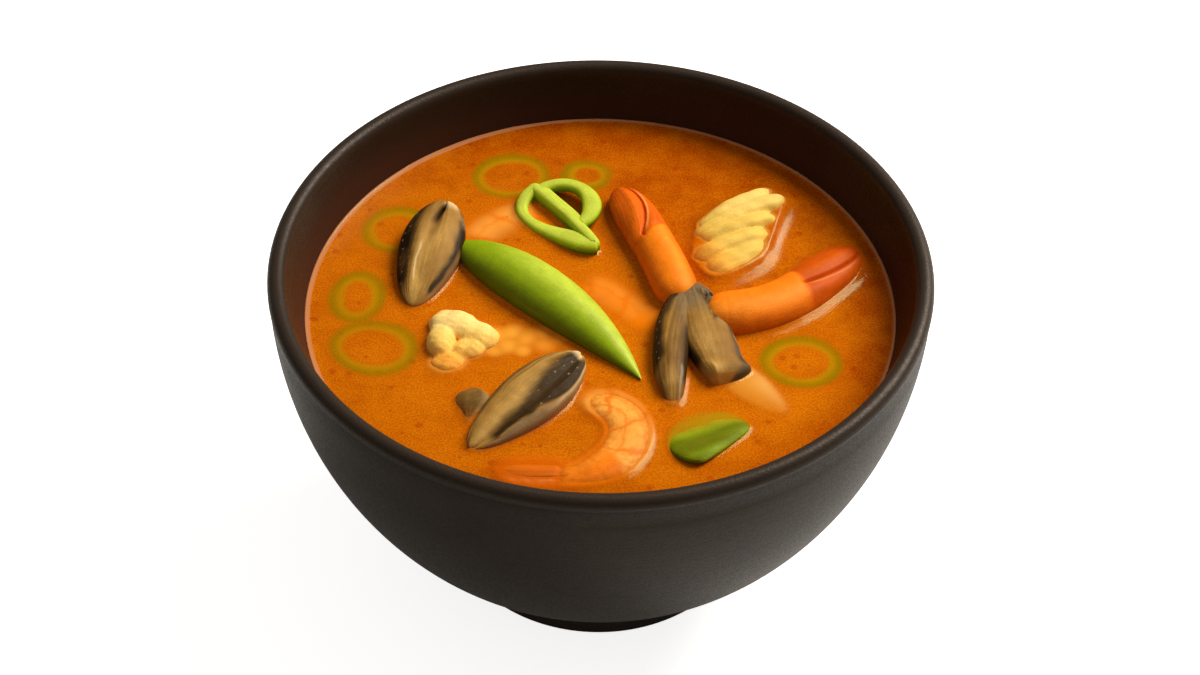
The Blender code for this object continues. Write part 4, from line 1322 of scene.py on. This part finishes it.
def make_broth(wetted, outlines, painted_light_loops, finish):
    """The surface climbs the wall, what stands out of it and the outlines of what it wets as one, each given
    as (mesh, climb, reach). Each point also gets the colour of what is seen through the broth there, and
    whether it lies inside the loops, where its colour is brightened as painted light."""
    plan = broth_plan(EDGE, wetted)
    flat = np.array([corner.co[:2] for corner in plan.verts])
    x, y = flat[:, 0], flat[:, 1]
    pairs = np.array([[corner.index for corner in line.verts] for line in plan.edges])
    faces = [[corner.index for corner in face.verts] for face in plan.faces]
    around = [corner.index for corner in plan.verts if corner.is_boundary]
    plan.free()

    def blurred(values, times):
        count = np.bincount(pairs.ravel(), minlength=len(x)).astype(float)
        values = values.reshape(len(x), -1)
        for _ in range(times):
            spread = np.zeros_like(values)
            np.add.at(spread, pairs[:, 0], values[pairs[:, 1]])
            np.add.at(spread, pairs[:, 1], values[pairs[:, 0]])
            values = 0.5 * values + 0.5 * spread / count[:, None]
        return values

    offs = offsets(x, y, wetted)
    climbed = climb_at(EDGE - np.hypot(x, y), WALL_CLIMB, WALL_REACH) ** JOINING
    for off, (_, climb, reach) in zip([*offs, *offsets(x, y, outlines)], [*wetted, *outlines]):
        if climb:
            climbed = climbed + climb_at(off, climb, reach) ** JOINING
    rise = blurred(climbed ** (1.0 / JOINING), 1)[:, 0]
    shares, colours = seen_through(x, y, rise, wetted)
    mixed = blurred(np.concatenate([colours * shares[:, None], shares[:, None]], axis=1), 2)
    shares, colours = mixed[:, 3], mixed[:, :3] / np.maximum(mixed[:, 3:], 1e-6)
    height = LEVEL + rise + 0.03 * drift(5, x * 0.35, y * 0.35)

    rows = np.stack([x, y, height], axis=-1)
    ring = np.array(sorted(around, key=lambda k: math.atan2(y[k], x[k])))
    unit = rows[ring, :2] / np.linalg.norm(rows[ring, :2], axis=1)[:, None]
    vertices, last = rows.tolist(), ring
    for drop in (66.0, 56.0, 42.0, 28.0, 16.0, 9.5):
        new = np.arange(len(vertices), len(vertices) + len(ring))
        r = float(hollow_radius(np.array(drop))) - 0.3
        vertices += np.concatenate([unit * r, np.full((len(unit), 1), drop)], axis=1).tolist()
        faces += np.stack([np.roll(last, -1), last, new, np.roll(new, -1)], axis=-1).tolist()
        last = new
    faces.append(last[::-1].tolist())
    mesh = bpy.data.meshes.new("broth_surface")
    mesh.from_pydata((np.array(vertices) * MM).tolist(), [], faces)
    mesh.update()
    spare = len(vertices) - len(x)
    tag(mesh, "sunk", np.concatenate([colours, np.zeros((spare, 3))]))
    tag(mesh, "seen", np.concatenate([shares, np.zeros(spare)]))
    tag(mesh, "near", np.concatenate([offs.min(0), np.full(spare, FAR)]))
    # Painted light: inside the loops the broth's colour is brightened, standing for light through the leaf.
    within = step(0.6, 0.0, offsets(x, y, painted_light_loops).min(0)) * step(0.0, 0.3, offs.min(0))
    tag(mesh, "painted_light_loops", np.concatenate([blurred(within, 2)[:, 0], np.zeros(spare)]))
    return finished("broth_surface", mesh, finish, "soup")


def make_broth_finish():
    made, tree, shader = material("broth", 0.1, 0.14, (0.6, 1.0, 0.52))
    place = tree.place()
    grains = group(tree, GRAIN, {"Place": place, "Size": 0.4, "Mottle": 6.0})
    at = tree.add("ShaderNodeSeparateXYZ", {"Vector": place}).outputs
    clouds = tree.noise(tree.stretched(place, (0.11, 0.16, 0.1)), 1.0, 3.0, 0.6)
    # Painted shade: the broth is painted darker towards the back and right and near the wall on the right and
    # front, where the bowl's wall shades it; the clouds are its own uneven colour.
    far = tree.ranged(tree.sums("ADD", at["Y"], tree.sums("MULTIPLY", at["X"], 0.45)), -8.0, 66.0)
    deep = tree.sums("ADD", tree.sums("MULTIPLY", far, 0.9), tree.ranged(clouds, 0.42, 0.7, 0.0, 0.35))
    flat = tree.stretched(place, (1.0, 1.0, 0.0))
    out = tree.add("ShaderNodeVectorMath", {0: flat}, operation="LENGTH").outputs["Value"]
    rim = tree.sums("MULTIPLY", tree.ranged(out, 50.0, 63.0), tree.ranged(at["X"], -40.0, 5.0, 0.1, 1.1))
    deep = tree.sums("ADD", deep, rim)
    body = tree.mixed(deep, BROTH, BROTH_DEEP_AND_SHADE)
    body = tree.mixed(tree.sums("MULTIPLY", grains["Mottle"], 0.3), body, BROTH_BRIGHT)
    light = tree.ranged(grains["Grain"], 0.0, 1.0, 0.78, 1.16)
    # Painted light: brighter inside the loops.
    light = tree.sums("MULTIPLY", light, tree.ranged(tree.attribute("painted_light_loops")["Fac"], 0.0, 1.0, 1.0, 1.7))
    grained = tree.add("ShaderNodeVectorMath", {0: body, "Scale": light}, operation="SCALE").outputs[0]
    red = group(tree, SPECKS, {"Place": place, "Spacing": 3.1, "Size": 0.3, "Share": 0.4})
    spotted = tree.mixed(tree.sums("MULTIPLY", red["Specks"], 0.45), grained, CHILLI)
    near = tree.attribute("near")["Fac"]
    # Painted shade: the broth is painted darker red close to the pieces.
    contact_shade = tree.sums("MULTIPLY", tree.ranged(near, 2.4, 0.0), 0.35)
    contact_shaded = tree.mixed(contact_shade, spotted, srgb(186, 84, 4))
    seen = tree.sums("MULTIPLY", tree.attribute("seen")["Fac"], 0.84)
    through = tree.mixed(seen, contact_shaded, tree.attribute("sunk")["Color"])
    veil = tree.sums("MULTIPLY", grains["Grain"], 0.16)
    veiled = tree.mixed(veil, through, BROTH)
    # Painted highlight: a pale beige band along the wall where the broth climbs it, wider on the left.
    climbing = tree.ranged(at["Z"], LEVEL + 0.12, LEVEL + 0.4, 0.0, 0.75)
    wider = tree.sums("ADD", out, tree.ranged(at["X"], 0.0, -40.0, 0.0, 0.6))
    band = tree.sums("MAXIMUM", climbing, tree.ranged(wider, EDGE - 0.6, EDGE - 0.4, 0.0, 0.75))
    meniscus_highlight = tree.sums("MULTIPLY", band, tree.ranged(out, EDGE - 2.4, EDGE - 1.4))
    link(tree, tree.mixed(meniscus_highlight, veiled, srgb(190, 128, 88)), shader["Base Color"])
    relief(tree, shader, grains["Grain"], 0.008)
    return made


# Put it all together


make_bowl()

pod_finish = food_finish("pod_skin", 0.4, 0.5, 4.0, 0.05, 0.02, 0.7, specular=0.2)
mushroom_finish = food_finish("mushroom", 0.5, 0.3, 6.0, 0.05, 0.03, 1.4, specular=0.1)
shrimp_finish = food_finish("shrimp", 0.5, 0.35, 4.0, 0.04, 0.04, 2.0, specular=0.1)
pale_finish = food_finish("pale_bite", 0.5, 0.4, 5.0, 0.04, 0.05, 1.1, specular=0.12)
greens_finish = food_finish("sliced_greens", 0.45, 0.25, 3.0, 0.06, 0.05, 0.7, specular=0.12)

# How high the broth climbs the pieces and how far out, in millimetres
NO_CLIMB = (0.0, 1.0)
LOW_CLIMB = (0.3, 0.6)
THIN_CLIMB = (0.55, 0.8)
WIDE_CLIMB = (0.8, 1.2)
BUNDLE_CLIMB = (1.9, 2.0)

meshes = {"pod": (make_pod(), pod_finish, "pod_skin", THIN_CLIMB)}
meshes["mushroom_left"] = (make_left_mushroom(), mushroom_finish, "mushroom", THIN_CLIMB)
meshes["mushroom_front"] = (make_front_mushroom(), mushroom_finish, "mushroom", THIN_CLIMB)
face, lobe, stalk = make_right_mushroom()
meshes["mushroom_right"] = (face, mushroom_finish, "mushroom", THIN_CLIMB)
meshes["mushroom_chip"] = (make_chip(), mushroom_finish, "mushroom", LOW_CLIMB)
shrimp_climbs = {"shrimp_back": NO_CLIMB, "shrimp_middle": NO_CLIMB, "shrimp_right": WIDE_CLIMB}
for node, mesh in make_shrimps().items():
    meshes[node] = (mesh, shrimp_finish, "shrimp", shrimp_climbs.get(node, THIN_CLIMB))
meshes["pale_lump"] = (make_pale_lump(), pale_finish, "pale_bite", LOW_CLIMB)
meshes["pale_bundle"] = (make_pale_bundle(), pale_finish, "pale_bite", NO_CLIMB)
for node, mesh in make_loops().items():
    meshes[node] = (mesh, greens_finish, "sliced_greens", THIN_CLIMB)
for node, mesh in make_onion_rings().items():
    meshes[node] = (mesh, greens_finish, "sliced_greens", NO_CLIMB)
meshes["leaf_wedge"] = (make_leaf(), greens_finish, "sliced_greens", LOW_CLIMB)

wetted = []
for node, (mesh, finish, slot, climb) in meshes.items():
    finished(mesh.name, mesh, finish, node)
    wetted.append((mesh, *climb))
for mesh in (lobe, stalk):
    finished(mesh.name, mesh, mushroom_finish)
    wetted.append((mesh, *(THIN_CLIMB if mesh is lobe else LOW_CLIMB)))
crumbs = make_sunk_bits()
finished(crumbs.name, crumbs, pale_finish)
wetted.append((crumbs, *NO_CLIMB))

outlines = [(hull_of(meshes["pale_bundle"][0]), *BUNDLE_CLIMB)]
painted_light_loops = [(hull_of(meshes[node][0]), *NO_CLIMB) for node in ("green_loop_low", "green_loop_high")]
make_broth(wetted, outlines, painted_light_loops, make_broth_finish())
for hull, *_ in [*outlines, *painted_light_loops]:
    bpy.data.meshes.remove(hull)


# Floor, lights and camera


SKY = 0.32
MIRRORED_SKY = 0.03


def make_floor():
    mesh = bpy.data.meshes.new("floor")
    half = 3.0
    corners = [(-half, -half, 0), (half, -half, 0), (half, half, 0), (-half, half, 0)]
    mesh.from_pydata(corners, [], [(0, 1, 2, 3)])
    floor = bpy.data.objects.new("floor", mesh)
    bpy.context.scene.collection.objects.link(floor)
    made, tree, shader = material("pale_floor", 0.9, 0.1)
    shader["Base Color"].default_value = (0.9, 0.9, 0.9, 1.0)
    shader["Emission Color"].default_value = (1.0, 1.0, 1.0, 1.0)
    seen_by = tree.add("ShaderNodeLightPath").outputs["Is Camera Ray"]
    link(tree, tree.sums("MULTIPLY", seen_by, 0.8), shader["Emission Strength"])
    mesh.materials.append(made)


def softbox(name, azimuth, elevation, distance, size, power, target, colour=(1.0, 1.0, 1.0)):
    lamp = bpy.data.lights.new(name, "AREA")
    lamp.shape = "RECTANGLE"
    lamp.size, lamp.size_y = size
    lamp.energy = power
    lamp.color = colour
    holder = bpy.data.objects.new(name, lamp)
    bpy.context.scene.collection.objects.link(holder)
    turn, rise = math.radians(azimuth), math.radians(elevation)
    toward = Vector((math.cos(rise) * math.cos(turn), math.cos(rise) * math.sin(turn), math.sin(rise)))
    holder.location = Vector(target) + toward * distance
    holder.rotation_euler = toward.to_track_quat("Z", "Y").to_euler()


make_floor()
soup_middle = (0.0, 0.0, LEVEL * MM)
softbox("key_softbox", 38, 44, 0.9, (0.45, 0.5), 11.8, soup_middle, (1.0, 0.95, 0.86))

world = bpy.data.worlds.new("studio")
bpy.context.scene.world = world
world.use_nodes = True
sky = Tree(world.node_tree)
world.node_tree.nodes.clear()
paths = sky.add("ShaderNodeLightPath").outputs
soft = sky.sums("MULTIPLY_ADD", paths["Is Glossy Ray"], MIRRORED_SKY - SKY, SKY)
strength = sky.sums("MAXIMUM", soft, paths["Is Camera Ray"])
plain = sky.add("ShaderNodeBackground", {"Color": (1.0, 0.93, 0.84, 1.0), "Strength": strength})
sky.tree.links.new(plain.outputs[0], sky.add("ShaderNodeOutputWorld").inputs["Surface"])

CAMERA_DISTANCE = 464.3
CAMERA_HEIGHT_ANGLE = 41.71
CAMERA_PITCH = 43.66
CAMERA_ROLL = 0.9
CAMERA_LENS = 66.0

camera_data = bpy.data.cameras.new("camera")
camera_data.sensor_width = 36.0
camera_data.lens = CAMERA_LENS
camera = bpy.data.objects.new("camera", camera_data)
bpy.context.scene.collection.objects.link(camera)
above = math.radians(CAMERA_HEIGHT_ANGLE)
away = CAMERA_DISTANCE * MM
camera.location = (0.0, -away * math.cos(above), away * math.sin(above) + LIP_HEIGHT * MM)
camera.rotation_mode = "XYZ"
tilt = Matrix.Rotation(math.radians(90.0 - CAMERA_PITCH), 4, "X")
roll = Matrix.Rotation(math.radians(CAMERA_ROLL), 4, "Z")
camera.rotation_euler = (tilt @ roll).to_euler()
bpy.context.scene.camera = camera

bpy.context.scene.view_settings.view_transform = "Standard"
